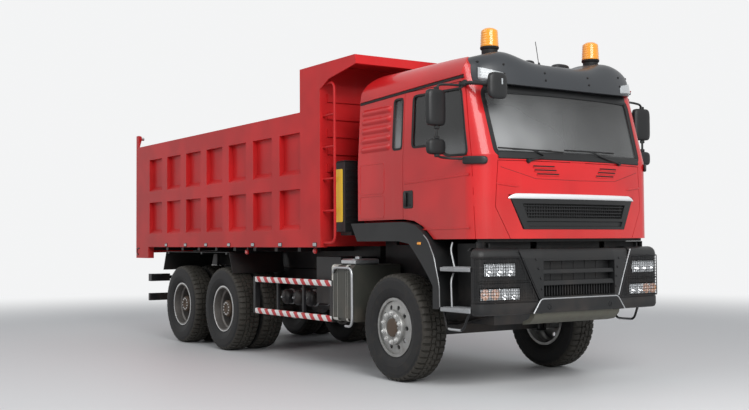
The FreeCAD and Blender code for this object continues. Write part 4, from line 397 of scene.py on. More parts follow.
floor_finish = Finish("floor_grey", Base_Color=(0.66, 0.665, 0.67), Roughness=0.55)
away = floor_finish.node("ShaderNodeVectorMath", {"operation": "LENGTH"}, (floor_finish.place(),),
                         out="Value")
glow = floor_finish.node("ShaderNodeEmission", None, {"Color": BACKGROUND, "Strength": 1.0})
blend = floor_finish.node("ShaderNodeMixShader", None, {
    0: away.smooth(7.0, 17.0) * seen_straight(floor_finish),
    1: Value(floor_finish, floor_finish.shader.outputs[0]),
    2: glow})
floor_finish.join(blend, floor_finish.tree.nodes["Material Output"].inputs["Surface"])
floor_mesh = bpy.data.meshes.new("floor")
corner_signs = ((-1, -1), (1, -1), (1, 1), (-1, 1))
floor_mesh.from_pydata([(a * FLOOR_REACH, b * FLOOR_REACH, 0) for a, b in corner_signs], [], [(0, 1, 2, 3)])
floor_mesh.materials.append(floor_finish.material)
floor = bpy.data.objects.new("floor", floor_mesh)
bpy.context.collection.objects.link(floor)

world = bpy.data.worlds.new("surround")
bpy.context.scene.world = world
world.use_nodes = True
surround = Nodes(world.node_tree)
surround.join(surround.mix(seen_straight(surround), SKY, BACKGROUND),
              surround.tree.nodes["Background"].inputs["Color"])


def soft_lamp(name, place, target, size, power):
    lamp_data = bpy.data.lights.new(name, "AREA")
    lamp_data.shape = "RECTANGLE"
    lamp_data.size, lamp_data.size_y, lamp_data.energy = size[0], size[1], power
    lamp = bpy.data.objects.new(name, lamp_data)
    bpy.context.collection.objects.link(lamp)
    direction = Vector(target) - Vector(place)
    lamp.matrix_world = Matrix.Translation(place) @ direction.to_track_quat("-Z", "Y").to_matrix().to_4x4()


soft_lamp("over_nose", (13.0, -3.5, 7.0), (3.5, 0.0, 1.6), (7.0, 5.0), 1250.0)
soft_lamp("over_side", (1.0, -10.0, 9.0), (0.0, 0.0, 1.5), (10.0, 4.0), 330.0)
bpy.context.scene.view_settings.view_transform = "Standard"
print("floor, surround and two lamps ready")

# %% [markdown]
# Everything added to the CAD is built from a few kinds of surface: a grid swept from formulas, a plate with
# chamfered edges, a tube along a path and a turned profile. A `Shape` gathers them into one mesh, each part
# with its own finish, and hands it over to the body that it moves with.
# %% Surfaces
PLANES = {"XY": ((1, 0, 0), (0, 1, 0)), "XZ": ((1, 0, 0), (0, 0, 1)), "YZ": ((0, 1, 0), (0, 0, 1))}


def inset(outline, by):
    """Every side moved inwards: p' = p + by (n1 + n2) / (1 + n1.n2), where n are the sides' normals."""
    ahead = np.roll(outline, -1, axis=0) - outline
    ahead /= np.linalg.norm(ahead, axis=1, keepdims=True)
    normal = np.stack([-ahead[:, 1], ahead[:, 0]], axis=1)
    before = np.roll(normal, 1, axis=0)
    share = 1.0 + np.sum(normal * before, axis=1, keepdims=True)
    return outline + by * (normal + before) / np.maximum(share, 0.2)


def rounded(points, radius, steps=5, closed=False):
    """A path with each corner replaced by the curve (1-t)^2 a + 2t(1-t) p + t^2 b between its two sides."""
    points = np.asarray(points, float)
    before, after = np.roll(points, 1, axis=0) - points, np.roll(points, -1, axis=0) - points
    reach = [np.linalg.norm(v, axis=1, keepdims=True) for v in (before, after)]
    near = [points + v * np.minimum(radius / np.maximum(n, 1e-9), 0.45)
            for v, n in zip((before, after), reach)]
    t = np.linspace(0.0, 1.0, steps)[None, :, None]
    curve = (1 - t) ** 2 * near[0][:, None] + 2 * t * (1 - t) * points[:, None] + t ** 2 * near[1][:, None]
    if closed:
        return curve.reshape(-1, points.shape[1])
    return np.vstack([points[:1], curve[1:-1].reshape(-1, points.shape[1]), points[-1:]])


def xyz(x, y, z):
    """Places from three coordinates, each a number, a row or a grid."""
    return np.stack(np.broadcast_arrays(x, y, z), -1)


def bent(value, power):
    """sign(value) |value|^power, the law of a superellipse."""
    return np.sign(value) * np.abs(value) ** power


class Shape:
    """Surfaces gathered into one piece."""

    def __init__(self, name, *finishes):
        self.name, self.finishes, self.count = name, finishes, 0
        self.points, self.loops, self.sizes, self.slots = [], [], [], []

    def add(self, points, loops, sizes, slot=0):
        self.points.append(np.asarray(points, float).reshape(-1, 3))
        self.loops.append(np.asarray(loops).ravel() + self.count)
        self.sizes.append(np.asarray(sizes).ravel())
        self.slots.append(np.full(len(self.sizes[-1]), slot))
        self.count += len(self.points[-1])

    def sheet(self, grid, wrap=(False, False), slot=0, flip=False):
        """A grid of points (rows, columns, 3) as quads, joined round where wrap says so."""
        rows, columns = grid.shape[:2]
        i = np.arange(rows if wrap[0] else rows - 1)[:, None]
        j = np.arange(columns if wrap[1] else columns - 1)[None, :]
        k, m = (i + 1) % rows, (j + 1) % columns
        corners = (i * columns + j, k * columns + j, k * columns + m, i * columns + m)
        quads = np.stack(np.broadcast_arrays(*corners), -1)
        if flip:
            quads = quads[..., ::-1]
        self.add(grid, quads, np.full(quads[..., 0].size, 4), slot)

    def closed(self, rings, slot=0, flip=False):
        """Rings of points as a closed solid, with a flat face on the first and the last."""
        rings = np.asarray(rings, float)
        start, count = self.count, rings.shape[1]
        self.sheet(rings, (False, True), slot, flip)
        first, last = np.arange(count), np.arange(count) + (len(rings) - 1) * count
        faces = (first[::-1], last) if not flip else (first, last[::-1])
        self.loops += [face + start for face in faces]
        self.sizes.append(np.array([count, count]))
        self.slots.append(np.array([slot, slot]))

    def plate(self, outline, low, high, plane="XZ", edge=0.003, slot=0):
        """An outline given thickness along the plane's own axis, with chamfered edges."""
        outline = np.asarray(outline, float)
        after = np.roll(outline, -1, axis=0)
        if np.sum(outline[:, 0] * after[:, 1] - after[:, 0] * outline[:, 1]) < 0:
            outline = outline[::-1]
        u, v = np.array(PLANES[plane], float)
        w = np.cross(u, v)
        if w.sum() < 0:
            low, high = -high, -low
        edge = min(edge, (high - low) * 0.45)
        inner = inset(outline, edge)
        levels = ((low, inner), (low + edge, outline), (high - edge, outline), (high, inner))
        self.closed([p[:, :1] * u + p[:, 1:] * v + level * w for level, p in levels], slot)

    def block(self, low, high, edge=0.004, slot=0):
        """A block between two corners with chamfered edges."""
        (x0, y0, z0), (x1, y1, z1) = low, high
        corner = min(edge, (x1 - x0) * 0.45, (y1 - y0) * 0.45)
        outline = [(x0 + corner, y0), (x1 - corner, y0), (x1, y0 + corner), (x1, y1 - corner),
                   (x1 - corner, y1), (x0 + corner, y1), (x0, y1 - corner), (x0, y0 + corner)]
        self.plate(outline, z0, z1, "XY", corner * 0.98, slot)

    def tube(self, path, radius, sides=10, slot=0):
        """A round bar along a path: ring = p + r (cos a n + sin a t x n), with n normal to its plane."""
        path = np.asarray(path, float)
        normal = np.linalg.svd(path - path.mean(axis=0))[2][-1]
        ahead = np.gradient(path, axis=0)
        ahead /= np.linalg.norm(ahead, axis=1, keepdims=True)
        side = np.cross(ahead, normal)
        side /= np.linalg.norm(side, axis=1, keepdims=True)
        across = np.cross(side, ahead)
        angle = np.linspace(0, 2 * math.pi, sides, endpoint=False)[None, :, None]
        rings = path[:, None] + radius * (np.cos(angle) * across[:, None] - np.sin(angle) * side[:, None])
        self.closed(rings, slot, flip=True)

    def turned(self, profile, centre, axis, sides, slot=0):
        """Profile pairs (distance along the axis, radius) turned about it."""
        profile = np.asarray(profile, float)
        angle = np.linspace(0, 2 * math.pi, sides, endpoint=False)[:, None]
        along, out = profile[None, :, 0], profile[None, :, 1]
        k = "XYZ".index(axis)
        grid = np.zeros((sides, len(profile), 3))
        grid[..., k] = along
        grid[..., (k + 1) % 3] = out * np.cos(angle)
        grid[..., (k + 2) % 3] = out * np.sin(angle)
        grid += np.asarray(centre)
        self.sheet(grid, (True, False), slot)

    def knob(self, profile, centre, sides, slot=0):
        """A turned part on the truck's right side, its profile counted outwards from the centre."""
        self.turned([(-out, radius) for out, radius in profile[::-1]], centre, "Y", sides, slot)

    def mirror(self, keep=False):
        """Take all so far over to the truck's other side; keep leaves the first side in place as well."""
        points, loops = np.vstack(self.points) * (1, -1, 1), np.concatenate(self.loops)
        sizes, slots = np.concatenate(self.sizes), np.concatenate(self.slots)
        ends = np.repeat(np.cumsum(sizes), sizes)
        loops = loops[2 * ends - np.repeat(sizes, sizes) - 1 - np.arange(len(loops))]
        if not keep:
            self.points, self.loops, self.sizes, self.slots, self.count = [], [], [], [], 0
        self.points.append(points)
        self.loops.append(loops + self.count)
        self.sizes.append(sizes)
        self.slots.append(slots)
        self.count += len(points)

    def both_sides(self):
        self.mirror(keep=True)

    def make(self, body, slot, angle=35.0, replaces=()):
        """Build the mesh and let it ride on its body. The slot, a name for the finish that it would be
        repainted with, is not used.
        """
        mesh = bpy.data.meshes.new(self.name)
        points, loops = np.vstack(self.points) + (FRONT_AXLE, 0, 0), np.concatenate(self.loops)
        sizes = np.concatenate(self.sizes)
        mesh.vertices.add(len(points))
        mesh.vertices.foreach_set("co", points.ravel().astype(np.float32))
        mesh.loops.add(len(loops))
        mesh.loops.foreach_set("vertex_index", loops.astype(np.int32))
        mesh.polygons.add(len(sizes))
        mesh.polygons.foreach_set("loop_start", (np.cumsum(sizes) - sizes).astype(np.int32))
        mesh.polygons.foreach_set("material_index", np.concatenate(self.slots).astype(np.int32))
        for finish in self.finishes:
            mesh.materials.append(finish)
        mesh.update(calc_edges=True)
        mesh.validate()
        mesh.shade_smooth()
        mesh.set_sharp_from_angle(angle=math.radians(angle))
        piece = bpy.data.objects.new(self.name, mesh)
        bpy.context.collection.objects.link(piece)
        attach(piece, body)
        if replaces:
            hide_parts(*replaces)
        low, high = points.min(axis=0), points.max(axis=0)
        print("%-22s %6d faces  %s to %s" % (self.name, len(sizes), np.round(low, 3), np.round(high, 3)))


print("surfaces ready")

# %% [markdown]
# Truck tyres are moulded, and the tread is the deepest relief on the whole truck: two rows of blocks in the
# middle, divided by zigzag grooves, and heavy shoulder lugs that reach down the sidewall. The surface is one
# grid, round the wheel and across the section. Rows of points stand close together at each groove's edge, and
# the zigzag moves whole rows sideways, so that the walls stay crisp with few points.
# %% Tyres
TREAD_DEPTH = 0.016
PITCHES = 46
PHASES = np.array([0.0, 0.03, 0.17, 0.20, 0.34, 0.37, 0.50, 0.53, 0.66, 0.69, 0.86, 0.89])
HALF_SECTION = np.array([
    # half width, radius, kind: 0 sidewall, 1 groove floor, 2 middle block, 3 shoulder lug, 4 lug's foot
    (0.000, 0.5425, 1), (0.0035, 0.5425, 1), (0.0050, 0.5425, 2), (0.026, 0.5423, 2), (0.047, 0.5418, 2),
    (0.0485, 0.5418, 1), (0.0590, 0.5412, 1), (0.0605, 0.5412, 3), (0.092, 0.5392, 3), (0.118, 0.5355, 3),
    (0.131, 0.5300, 3), (0.140, 0.5190, 4), (0.1455, 0.5050, 4), (0.1480, 0.4950, 0), (0.1520, 0.4800, 0),
    (0.1535, 0.4780, 0), (0.1556, 0.4500, 0), (0.1560, 0.4250, 0), (0.1550, 0.3990, 0), (0.1558, 0.3975, 0),
    (0.1558, 0.3935, 0), (0.1538, 0.3920, 0), (0.1485, 0.3620, 0), (0.1400, 0.3380, 0), (0.1290, 0.3180, 0),
    (0.1245, 0.3160, 0), (0.1215, 0.3060, 0), (0.1130, 0.3000, 0), (0.1105, 0.2995, 0),
])


def tyre_grid(centre, turn):
    """Tyre surface: radius = profile - depth x groove(phase, kind), and the middle rows zigzag sideways."""
    right = HALF_SECTION[1:][::-1] * (-1, 1, 1)
    section = np.vstack([right, HALF_SECTION])
    across, radius, kind = section[:, 0], section[:, 1], section[:, 2]
    phase = np.tile(PHASES, PITCHES)[:, None]
    angle = (np.repeat(np.arange(PITCHES), len(PHASES))[:, None] + phase) / PITCHES * 2 * math.pi
    local = (phase + np.where(across > 0, 0.50, 0.0)) % 1.0
    lug_gap = (local > 0.02) & (local < 0.30)
    slit = np.abs((local + 0.33) % 1.0 - 0.5) < 0.04
    groove = np.select([(kind == 1) & (local >= 0), (kind == 2) & slit, (kind == 3) & lug_gap,
                        (kind == 4) & lug_gap],
                       [1.0, 0.75, 1.0, 0.5], 0.0)
    zigzag = np.abs((phase * 2.0) % 2.0 - 1.0) * 2.0 - 1.0
    weight = np.clip(1.3 - np.abs(across) / 0.070, 0.0, 1.0)
    out, angle = radius - TREAD_DEPTH * groove, angle + turn
    y = across + 0.0065 * zigzag * weight
    return xyz(centre[0] + out * np.cos(angle), centre[1] + y, centre[2] + out * np.sin(angle))


tread_dust = rubber("tread_dust", (0.034, 0.031, 0.026))
EDGE_ROWS = 16                                  # rows of each sidewall, from the bead to the lugs' foot
for number, (name, (x, places, body)) in enumerate(WHEELS.items()):
    tyre = Shape("tread_" + name, tyre_black, tread_dust)
    for turn, y in enumerate(places):
        grid = tyre_grid((x, y if "left" in name else -y, TYRE_RADIUS), 0.4 * number + turn)
        tyre.sheet(grid[:, :EDGE_ROWS + 1], (True, False))
        tyre.sheet(grid[:, EDGE_ROWS:-EDGE_ROWS], (True, False), 1)
        tyre.sheet(grid[:, -EDGE_ROWS - 1:], (True, False))
    tyre.make(body, "tyre_rubber", 28.0, [TYRE_NODES[name]])

# %% [markdown]
# Each wheel is held by ten nuts on a ring of studs. Nuts are forged: six flats over a round flange, with
# the stud's end standing out of them. The front discs carry them on a raised ring, round a small domed cap.
# The rear hubs reach out of the dished wheel as flanged drums, with twelve bolts on the axle shaft's flange
# and a bright edge on the rim, in the nuts' metal. All are turned profiles, built for the right side and
# mirrored for the left.
# %% Wheel nuts and hubs
NUT_RING, NUT_COUNT, NUT_SIZE = 0.146, 10, 0.0175
PLATEAU = 0.034                                # how far the bolted ring stands out of the front discs
hub_rust = metal("hub_rust", (0.085, 0.058, 0.040), 0.55, 0.4, None, 0.5)
nut_bright = metal("nut_bright", (0.70, 0.70, 0.69), 0.28, 0.75, None, 0.35)


def round_axle(x, y, radius, count, start=0.5):
    """Places on a circle round a wheel's axis."""
    angle = 2 * math.pi * (np.arange(count) + start) / count
    return xyz(x + radius * np.cos(angle), y, TYRE_RADIUS + radius * np.sin(angle))


def wheel_nut(shape, place, slot):
    """A six-sided nut on a round flange, with its stud."""
    x, y, z = place
    size = NUT_SIZE
    shape.knob([(0.0, size * 1.45), (0.004, size * 1.45), (0.006, size * 1.15)], place, 16, slot)
    angle = np.linspace(0, 2 * math.pi, 6, endpoint=False)
    hexagon = np.stack([x + size * 1.12 * np.cos(angle), z + size * 1.12 * np.sin(angle)], 1)
    shape.plate(hexagon, y - 0.019, y - 0.004, "XZ", 0.002, slot)
    shape.knob([(0.018, size * 0.62), (0.0265, size * 0.62), (0.0285, size * 0.40), (0.0285, 0.0005)],
               place, 12, slot)


for name, (x, places, body) in WHEELS.items():
    shape = Shape("hub_" + name, wheel_silver, hub_rust, nut_bright)
    if "front" in name:
        hub_y, face = -1.161, -places[-1] - 0.125
        shape.knob([(-0.004, 0.1795), (0.006, 0.1785), (PLATEAU - 0.008, 0.1760), (PLATEAU - 0.002, 0.1730),
                    (PLATEAU, 0.1680), (PLATEAU, 0.1120), (PLATEAU - 0.006, 0.1080), (-0.004, 0.1065)],
                   (x, face, TYRE_RADIUS), 64)
        face -= PLATEAU
        for place in round_axle(x, hub_y, 0.095, 8, 0.0):
            shape.knob([(0.0, 0.011), (0.0045, 0.011), (0.0055, 0.0095), (0.0055, 0.0005)], place, 6)
        t = np.linspace(0, math.pi / 2, 9)
        cap = np.stack([0.012 * np.sin(t), 0.096 * np.cos(t) ** 0.35 + 0.0005], 1)
    else:
        hub_y, face = -1.035, -places[-1] + 0.157
        cap = [(-0.060, 0.150), (-0.012, 0.150), (0.0, 0.142), (0.006, 0.118), (0.113, 0.110), (0.127, 0.104),
               (0.135, 0.094), (0.135, 0.048), (0.125, 0.042), (0.125, 0.0005)]
        rim_edge = [(-0.004, 0.3010), (0.0015, 0.2990), (0.0015, 0.2875), (-0.003, 0.2835), (-0.034, 0.2830)]
        shape.knob(rim_edge, (x, -places[-1] - 0.125, TYRE_RADIUS), 64, 2)
        for place in round_axle(x, hub_y - 0.135, 0.078, 12):
            shape.knob([(-0.002, 0.010), (0.006, 0.010), (0.008, 0.008), (0.008, 0.0005)], place, 6, 2)
    for place in round_axle(x, face, NUT_RING, NUT_COUNT):
        wheel_nut(shape, place, 2)
    shape.knob(cap, (x, hub_y, TYRE_RADIUS), 40, 1)
    if "left" in name:
        shape.mirror()
    shape.make(body, "wheel_silver")

# %% [markdown]
# The cab's outside is one form: straight sides, round corners and a wide bow across the front, leaning back
# above the belt line. The trim follows it, so the same form is written here as formulas. `nose_x` gives how
# far forward the skin lies at a half-width and a height, and `side_y` how far out the side wall stands.
# %% The cab's form as formulas
NOSE, SWEEP, CORNER, CAB_HALF = 1.470, 0.300, 0.200, 1.150
BELT, SEAM, SCREEN_LEAN, SIDE_LEAN = 2.200, 2.930, 0.205, 0.040
BOW = (SWEEP ** 2 + (CAB_HALF - CORNER) ** 2 - CORNER ** 2) / (2 * (SWEEP - CORNER))
MEET = (CAB_HALF - CORNER) * BOW / (BOW - CORNER)


def nose_x(y, z, out=0.0):
    """x = nose - R + sqrt((R + out)^2 - y^2) on the bow, and the corner's circle beyond it. Above the belt
    the whole plan leans back in proportion to the height."""
    y, z = np.broadcast_arrays(np.abs(np.asarray(y, float)), np.asarray(z, float))
    bow = NOSE - BOW + np.sqrt(np.maximum((BOW + out) ** 2 - y ** 2, 0.0))
    reach = np.clip(y - (CAB_HALF - CORNER), 0.0, CORNER + out)
    corner = NOSE - SWEEP + np.sqrt(np.maximum((CORNER + out) ** 2 - reach ** 2, 0.0))
    lean = np.clip(z - BELT, 0.0, None) / (SEAM - BELT) * SCREEN_LEAN
    return np.where(y < MEET * (BOW + out) / BOW, bow, corner) - lean


def side_y(z, out=0.0):
    """Half-width of the side wall: level below the belt, leaning in above it."""
    return CAB_HALF + out - SIDE_LEAN * np.clip((np.asarray(z, float) - BELT) / (SEAM - BELT), 0.0, 1.0)


def on_nose(points, out=0.0):
    """Places (y, z) on the front skin, a little way out from it."""
    y, z = np.asarray(points, float).T
    return xyz(nose_x(y, z, out), y, z)


def along(points, step=0.03):
    """A path with points added so that it can follow a curve."""
    points = np.asarray(points, float)
    parts = [points[:1]]
    for a, b in zip(points[:-1], points[1:]):
        count = max(1, int(np.ceil(np.linalg.norm(b - a) / step)))
        parts.append(a + (b - a) * (np.arange(1, count + 1) / count)[:, None])
    return np.vstack(parts)


def looped(points, step):
    """The same for a closed path."""
    return along(np.vstack([points, points[:1]]), step)[:-1]


def band(shape, skin, flat, path, width, out, slot, closed, thick):
    """A strip along a path on a skin, standing a little out of it. Flat is the share of its width between the
    bevelled edges. The front skin's rows run the other way round than the side's."""
    path = np.asarray(path, float)
    step = np.roll(path, -1, 0) - np.roll(path, 1, 0) if closed else np.gradient(path, axis=0)
    step /= np.linalg.norm(step, axis=1, keepdims=True)
    across = np.stack([-step[:, 1], step[:, 0]], 1) * width / 2
    rims = ((-1.0, out - thick), (-flat, out), (flat, out), (1.0, out - thick))
    grid = np.stack([skin(path + across * share, height) for share, height in rims], 1)
    shape.sheet(grid, (closed, False), slot, flip=skin is on_nose)


def band_on_nose(shape, path, width, out, slot=0, closed=False, thick=0.004):
    """A strip along a path (y, z) on the front skin."""
    band(shape, on_nose, 0.64, path, width, out, slot, closed, thick)


print("bow radius %.3f m, meets the corner at %.3f m" % (BOW, MEET))

# %% [markdown]
# A black sheet hangs behind the cab's lower front edge as painted shade: it stands for the dark gap between
# the cab and the bumper, so that no light shows there. It tilts with the cab. Its path follows the same bow,
# a little further back.
# %% Painted shade under the cab
# Painted shade: a black sheet that stands for the dark gap between the cab and the bumper.
gap_shade = Shape("cab_gap_shade", seal_and_shade_black)
y_row = np.linspace(-1.085, 1.085, 61)
x_row = nose_x(y_row, 1.43)
rows = ((-0.050, 1.400), (-0.050, 1.436), (-0.062, 1.436), (-0.062, 1.400))
gap_shade.sheet(np.stack([xyz(x_row + back, y_row, z) for back, z in rows], 1), (False, True), flip=True)
gap_shade.make("cab", "black_plastic")

# %% [markdown]
# The windscreen is glued in, so a black frit band runs round its edge, widest along the bottom where it hides
# the wiper linkage. The wide dark band along the top is partly frit and partly painted shade, standing for
# the visor's shadow on the glass. Two long blades park on the frit band. Under the glass the bonnet has three
# short cooling slots on each side, pressed as louvres, each with a black strip of painted shade for the
# shadow in it, and a crease that drops from the pillars in a shallow V, drawn as a thin black line of painted
# shade.
# %% Windscreen frame, wipers and louvres
trim = Shape("screen_frame", seal_and_shade_black, bumper_black)
frame_path = looped(rounded([(-0.940, 2.205), (-0.962, 2.800), (-0.900, 2.852), (0.900, 2.852),
                             (0.962, 2.800), (0.940, 2.205)], 0.06, 6, closed=True), 0.03)
band_on_nose(trim, frame_path, 0.055, 0.004, 0, closed=True, thick=0.010)
# The lower band is the frit over the wiper linkage; the wide upper one is partly frit and partly painted
# shade under the visor.
for half, z, width, out in ((0.925, 2.198, 0.080, 0.010), (0.945, 2.849, 0.105, 0.006)):
    band_on_nose(trim, along([(-half, z), (half, z)], 0.05), width, out, 1, thick=out + 0.006)
trim.make("cab", "black_plastic")

wipers = Shape("wipers", seal_and_shade_black, bumper_black)
for pivot, elbow, inner, outer in (((-0.606, 2.150), (-0.40, 2.200), (-0.205, 2.240), (-0.930, 2.262)),
                                   ((0.584, 2.164), (0.36, 2.205), (-0.180, 2.262), (0.500, 2.262))):
    foot = on_nose([pivot])[0] + (0.006, 0, 0)
    wipers.turned([(0.022, 0.0005), (0.022, 0.016), (0.008, 0.022), (-0.030, 0.020), (-0.030, 0.0005)],
                  foot, "X", 14, 1)
    middle = ((inner[0] + outer[0]) / 2, (inner[1] + outer[1]) / 2)
    arm = np.vstack([on_nose([pivot], 0.020), on_nose([elbow], 0.020), on_nose([middle], 0.028)])
    wipers.tube(along(rounded(arm, 0.08), 0.04), 0.0085, 8, slot=1)
    wipers.tube(on_nose(along([inner, outer], 0.05), 0.026), 0.0075, 6)
    yoke = [(inner[0] * share + outer[0] * (1 - share), middle[1]) for share in (0.8, 0.2)]
    wipers.tube(on_nose(along(yoke, 0.05), 0.031), 0.006, 6, slot=1)
wipers.make("cab", "black_plastic")

louvres = Shape("bonnet_louvres", cab_red, seal_and_shade_black)
for row, (near, far) in enumerate(((0.300, 0.548), (0.276, 0.533), (0.245, 0.505))):
    z = 2.104 - 0.036 * row
    run = along([(near, z), (far, z)], 0.03)
    # Black strip of painted shade: it stands for the shadow inside the slot, above the red lip.
    band_on_nose(louvres, run, 0.014, 0.0018, 1, thick=0.003)
    band_on_nose(louvres, run - (0.0, 0.013), 0.013, 0.0075, 0, thick=0.009)
louvres.both_sides()
louvres.make("flap", "cab_paint")

crease = Shape("bonnet_crease_shade_line", seal_and_shade_black)
# A thin black line of painted shade stands for the crease.
band_on_nose(crease, along([(0.900, 2.088), (0.520, 1.985), (0.0, 1.978)], 0.03), 0.0045, 0.0008, thick=0.002)
crease.both_sides()
crease.make("flap", "cab_paint")

# %% [markdown]
# The grille is one moulding: a black frame, a recess with fine bars that the cooler can be guessed behind,
# and a second shallow field below. Its surface follows the bonnet's bow. Rows of points stand in pairs
# where the surface steps back. The bright strip along the top is a separate bow, thin at both ends.
# %% Grille
GRILLE_TOP, GRILLE_LOW, GRILLE_TOP_HALF, GRILLE_LOW_HALF = 1.800, 1.515, 0.810, 0.668


def grille_half(z):
    share = (z - GRILLE_LOW) / (GRILLE_TOP - GRILLE_LOW)
    return GRILLE_LOW_HALF + share * (GRILLE_TOP_HALF - GRILLE_LOW_HALF)


grille = Shape("grille_moulding", bumper_black, seal_and_shade_black)
levels = np.array([1.5150, 1.5165, 1.5220, 1.5400, 1.5440, 1.5860, 1.5900, 1.6060, 1.6120, 1.6180, 1.6220,
                   1.6260, 1.7440, 1.7480, 1.7530, 1.7600, 1.7950, 1.7990, 1.8000])
shares = np.concatenate([[-1.0, -0.996, -0.985, -0.900, -0.895, -0.860, -0.855, -0.845, -0.840],
                         np.linspace(-0.80, 0.80, 33),
                         [0.840, 0.845, 0.855, 0.860, 0.895, 0.900, 0.985, 0.996, 1.0]])
z_grid, share_grid = np.meshgrid(levels, shares, indexing="ij")
upper = (z_grid > 1.6215) & (z_grid < 1.7485) & (np.abs(share_grid) < 0.858)
lower = (z_grid > 1.5435) & (z_grid < 1.5865) & (np.abs(share_grid) < 0.897)
rim = (np.abs(share_grid) > 0.99) | (z_grid < 1.516) | (z_grid > 1.7995)
depth = np.select([rim, upper, lower], [-0.016, -0.017, -0.006], 0.008)
y_grid = share_grid * grille_half(z_grid)
grille.sheet(xyz(nose_x(y_grid, z_grid) + depth, y_grid, z_grid), flip=True)
for z in np.linspace(1.640, 1.732, 4):
    bar = along([(-0.845 * grille_half(z), z), (0.845 * grille_half(z), z)], 0.05)
    band_on_nose(grille, bar, 0.012, -0.001, 0, thick=0.016)
for share in np.linspace(-0.80, 0.80, 41):
    half = share * grille_half(1.69)
    band_on_nose(grille, along([(half, 1.624), (half, 1.746)], 0.05), 0.005, -0.006, 1, thick=0.011)
grille.make("flap", "black_plastic", replaces=("grille",))

strip = Shape("grille_strip", satin_strip)
places = np.linspace(-1.0, 1.0, 65)
taper = np.clip((1.0 - np.abs(places)) / 0.10, 0.0, 1.0) ** 0.6
section = np.linspace(0.0, math.pi, 9)
y_row = places[:, None] * 0.826
tall = 0.010 + 0.040 * taper
z_row = 1.797 + tall[:, None] * (1 - np.cos(section))[None, :] / 2
out_row = 0.002 + 0.016 * np.sin(section)[None, :] ** 0.7 * (0.3 + 0.7 * taper)[:, None]
strip.sheet(xyz(nose_x(y_row, z_row) + out_row, y_row, z_row))
strip.make("flap", "cab_paint")

# %% [markdown]
# The sun visor is a hood moulded in dark plastic. Seen from above it wraps round the cab's corners, and its
# top rises into a shoulder behind each beacon with a dip between them. The surface is a box-like
# superellipse: its height goes with sin^p and its reach with cos^p of one angle, so that it comes forward
# flat, then rounds over onto the roof. Ten screws hold it, and a white marker lamp sits in each end.
# %% Visor
VISOR_REAR, VISOR_REACH, VISOR_HALF = 0.960, 1.355, 1.046


def visor_plan(t):
    """Reach and half-width along the hood from its right end (t = -1) to its left end (t = 1)."""
    angle = t * math.pi / 2
    across = bent(np.sin(angle), 0.62)
    reach = np.abs(np.cos(angle)) ** 0.36
    return reach - 0.10 * across ** 2 * reach, across


def visor_surface(t, v, out=0.0):
    """Point of the hood: v from 0 at the front's lower edge to 1 on the roof."""
    t, v = np.broadcast_arrays(np.asarray(t, float), np.asarray(v, float))
    reach, across = visor_plan(t)
    angle = v * math.pi / 2
    forward, up = np.cos(angle) ** 0.42, np.sin(angle) ** 0.80
    shoulder = np.exp(-((np.abs(across) - 0.72) / 0.27) ** 2)
    top = 3.124 + 0.090 * shoulder
    low = 2.866 + 0.020 * np.abs(across) ** 3 + 0.040 * (1 - reach) ** 1.2
    x = VISOR_REAR + (VISOR_REACH - VISOR_REAR + out) * reach * (forward * 0.96 + 0.04 * (1 - v))
    y = (VISOR_HALF + out) * across * (1.0 - 0.16 * (1.0 - forward) - 0.02 * v)
    return xyz(x, y, low + (top + out - low) * up)


hood = Shape("visor_hood", visor_grey, seal_and_shade_black)
t, v = np.meshgrid(np.linspace(-1, 1, 121), np.linspace(0.0, 1.0, 41) ** 1.3, indexing="ij")
outer = visor_surface(t, v)
edge_t = t[:, :1]
reach = visor_plan(edge_t)[0]
lip = outer[:, :1] + xyz(-0.030 * reach, 0.0, -0.004)
under = lip + xyz(-0.090 * reach, -0.03 * bent(edge_t, 4), 0.03)
hood.sheet(np.concatenate([under, lip, outer], axis=1), flip=True)
for across, up in ((0.42, 0.30), (0.42, 0.12), (0.08, 0.30), (0.08, 0.12), (0.78, 0.42)):
    for point in (visor_surface(-across, up, 0.002), visor_surface(across, up, 0.002)):
        hood.turned([(0.006, 0.0005), (0.006, 0.008), (0.0, 0.0115), (-0.02, 0.0115)], point, "X", 12, 1)
hood.make("cab", "black_plastic", 40.0, ["visor"])

corner_lamps = Shape("corner_lamps", white_lens)
u, w = np.meshgrid(np.linspace(0.0, 1.0, 25), np.linspace(0.0, 1.0, 13), indexing="ij")
t, v = -0.790 + 0.370 * u, 0.015 + (0.255 - 0.135 * u) * w
rim = np.minimum(np.minimum(u, 1 - u) / 0.042, np.minimum(w, 1 - w) / 0.083) < 0.5
corner_lamps.sheet(np.where(rim[..., None], visor_surface(t, v, -0.004), visor_surface(t, v, 0.012)),
                   flip=True)
corner_lamps.both_sides()
corner_lamps.make("cab", "lamp_glass")

# %% [markdown]
# The mirrors hang on bent steel tubes beside the doors: a tall main mirror over a wide-angle one, each in a
# moulded shell that is rounder at the front than at the glass. They swing a little in real use, but here
# they're fixed to the cab. A shell is a superellipse in plan, drawn in towards its top and bottom.
# %% Mirrors
def shell(shape, centre, half, power, rise, slot=0):
    """(|x/a|^p + |y/b|^p)^(1/p) = (1 - |z/c|^q)^(1/q): a soft box, cut off flat towards the rear."""
    u = np.linspace(0, 2 * math.pi, 49)[:-1][None, :]
    w = np.linspace(-0.5, 0.5, 25)[:, None] * math.pi
    wide = np.cos(w) ** (2.0 / rise)
    x = np.maximum(bent(np.cos(u), 2.0 / power) * wide, -0.45) * half[0]
    y = bent(np.sin(u), 2.0 / power) * wide * half[1]
    grid = xyz(x, y, bent(np.sin(w), 2.0 / rise) * half[2]) + np.asarray(centre)
    shape.sheet(grid, (False, True), slot, flip=True)


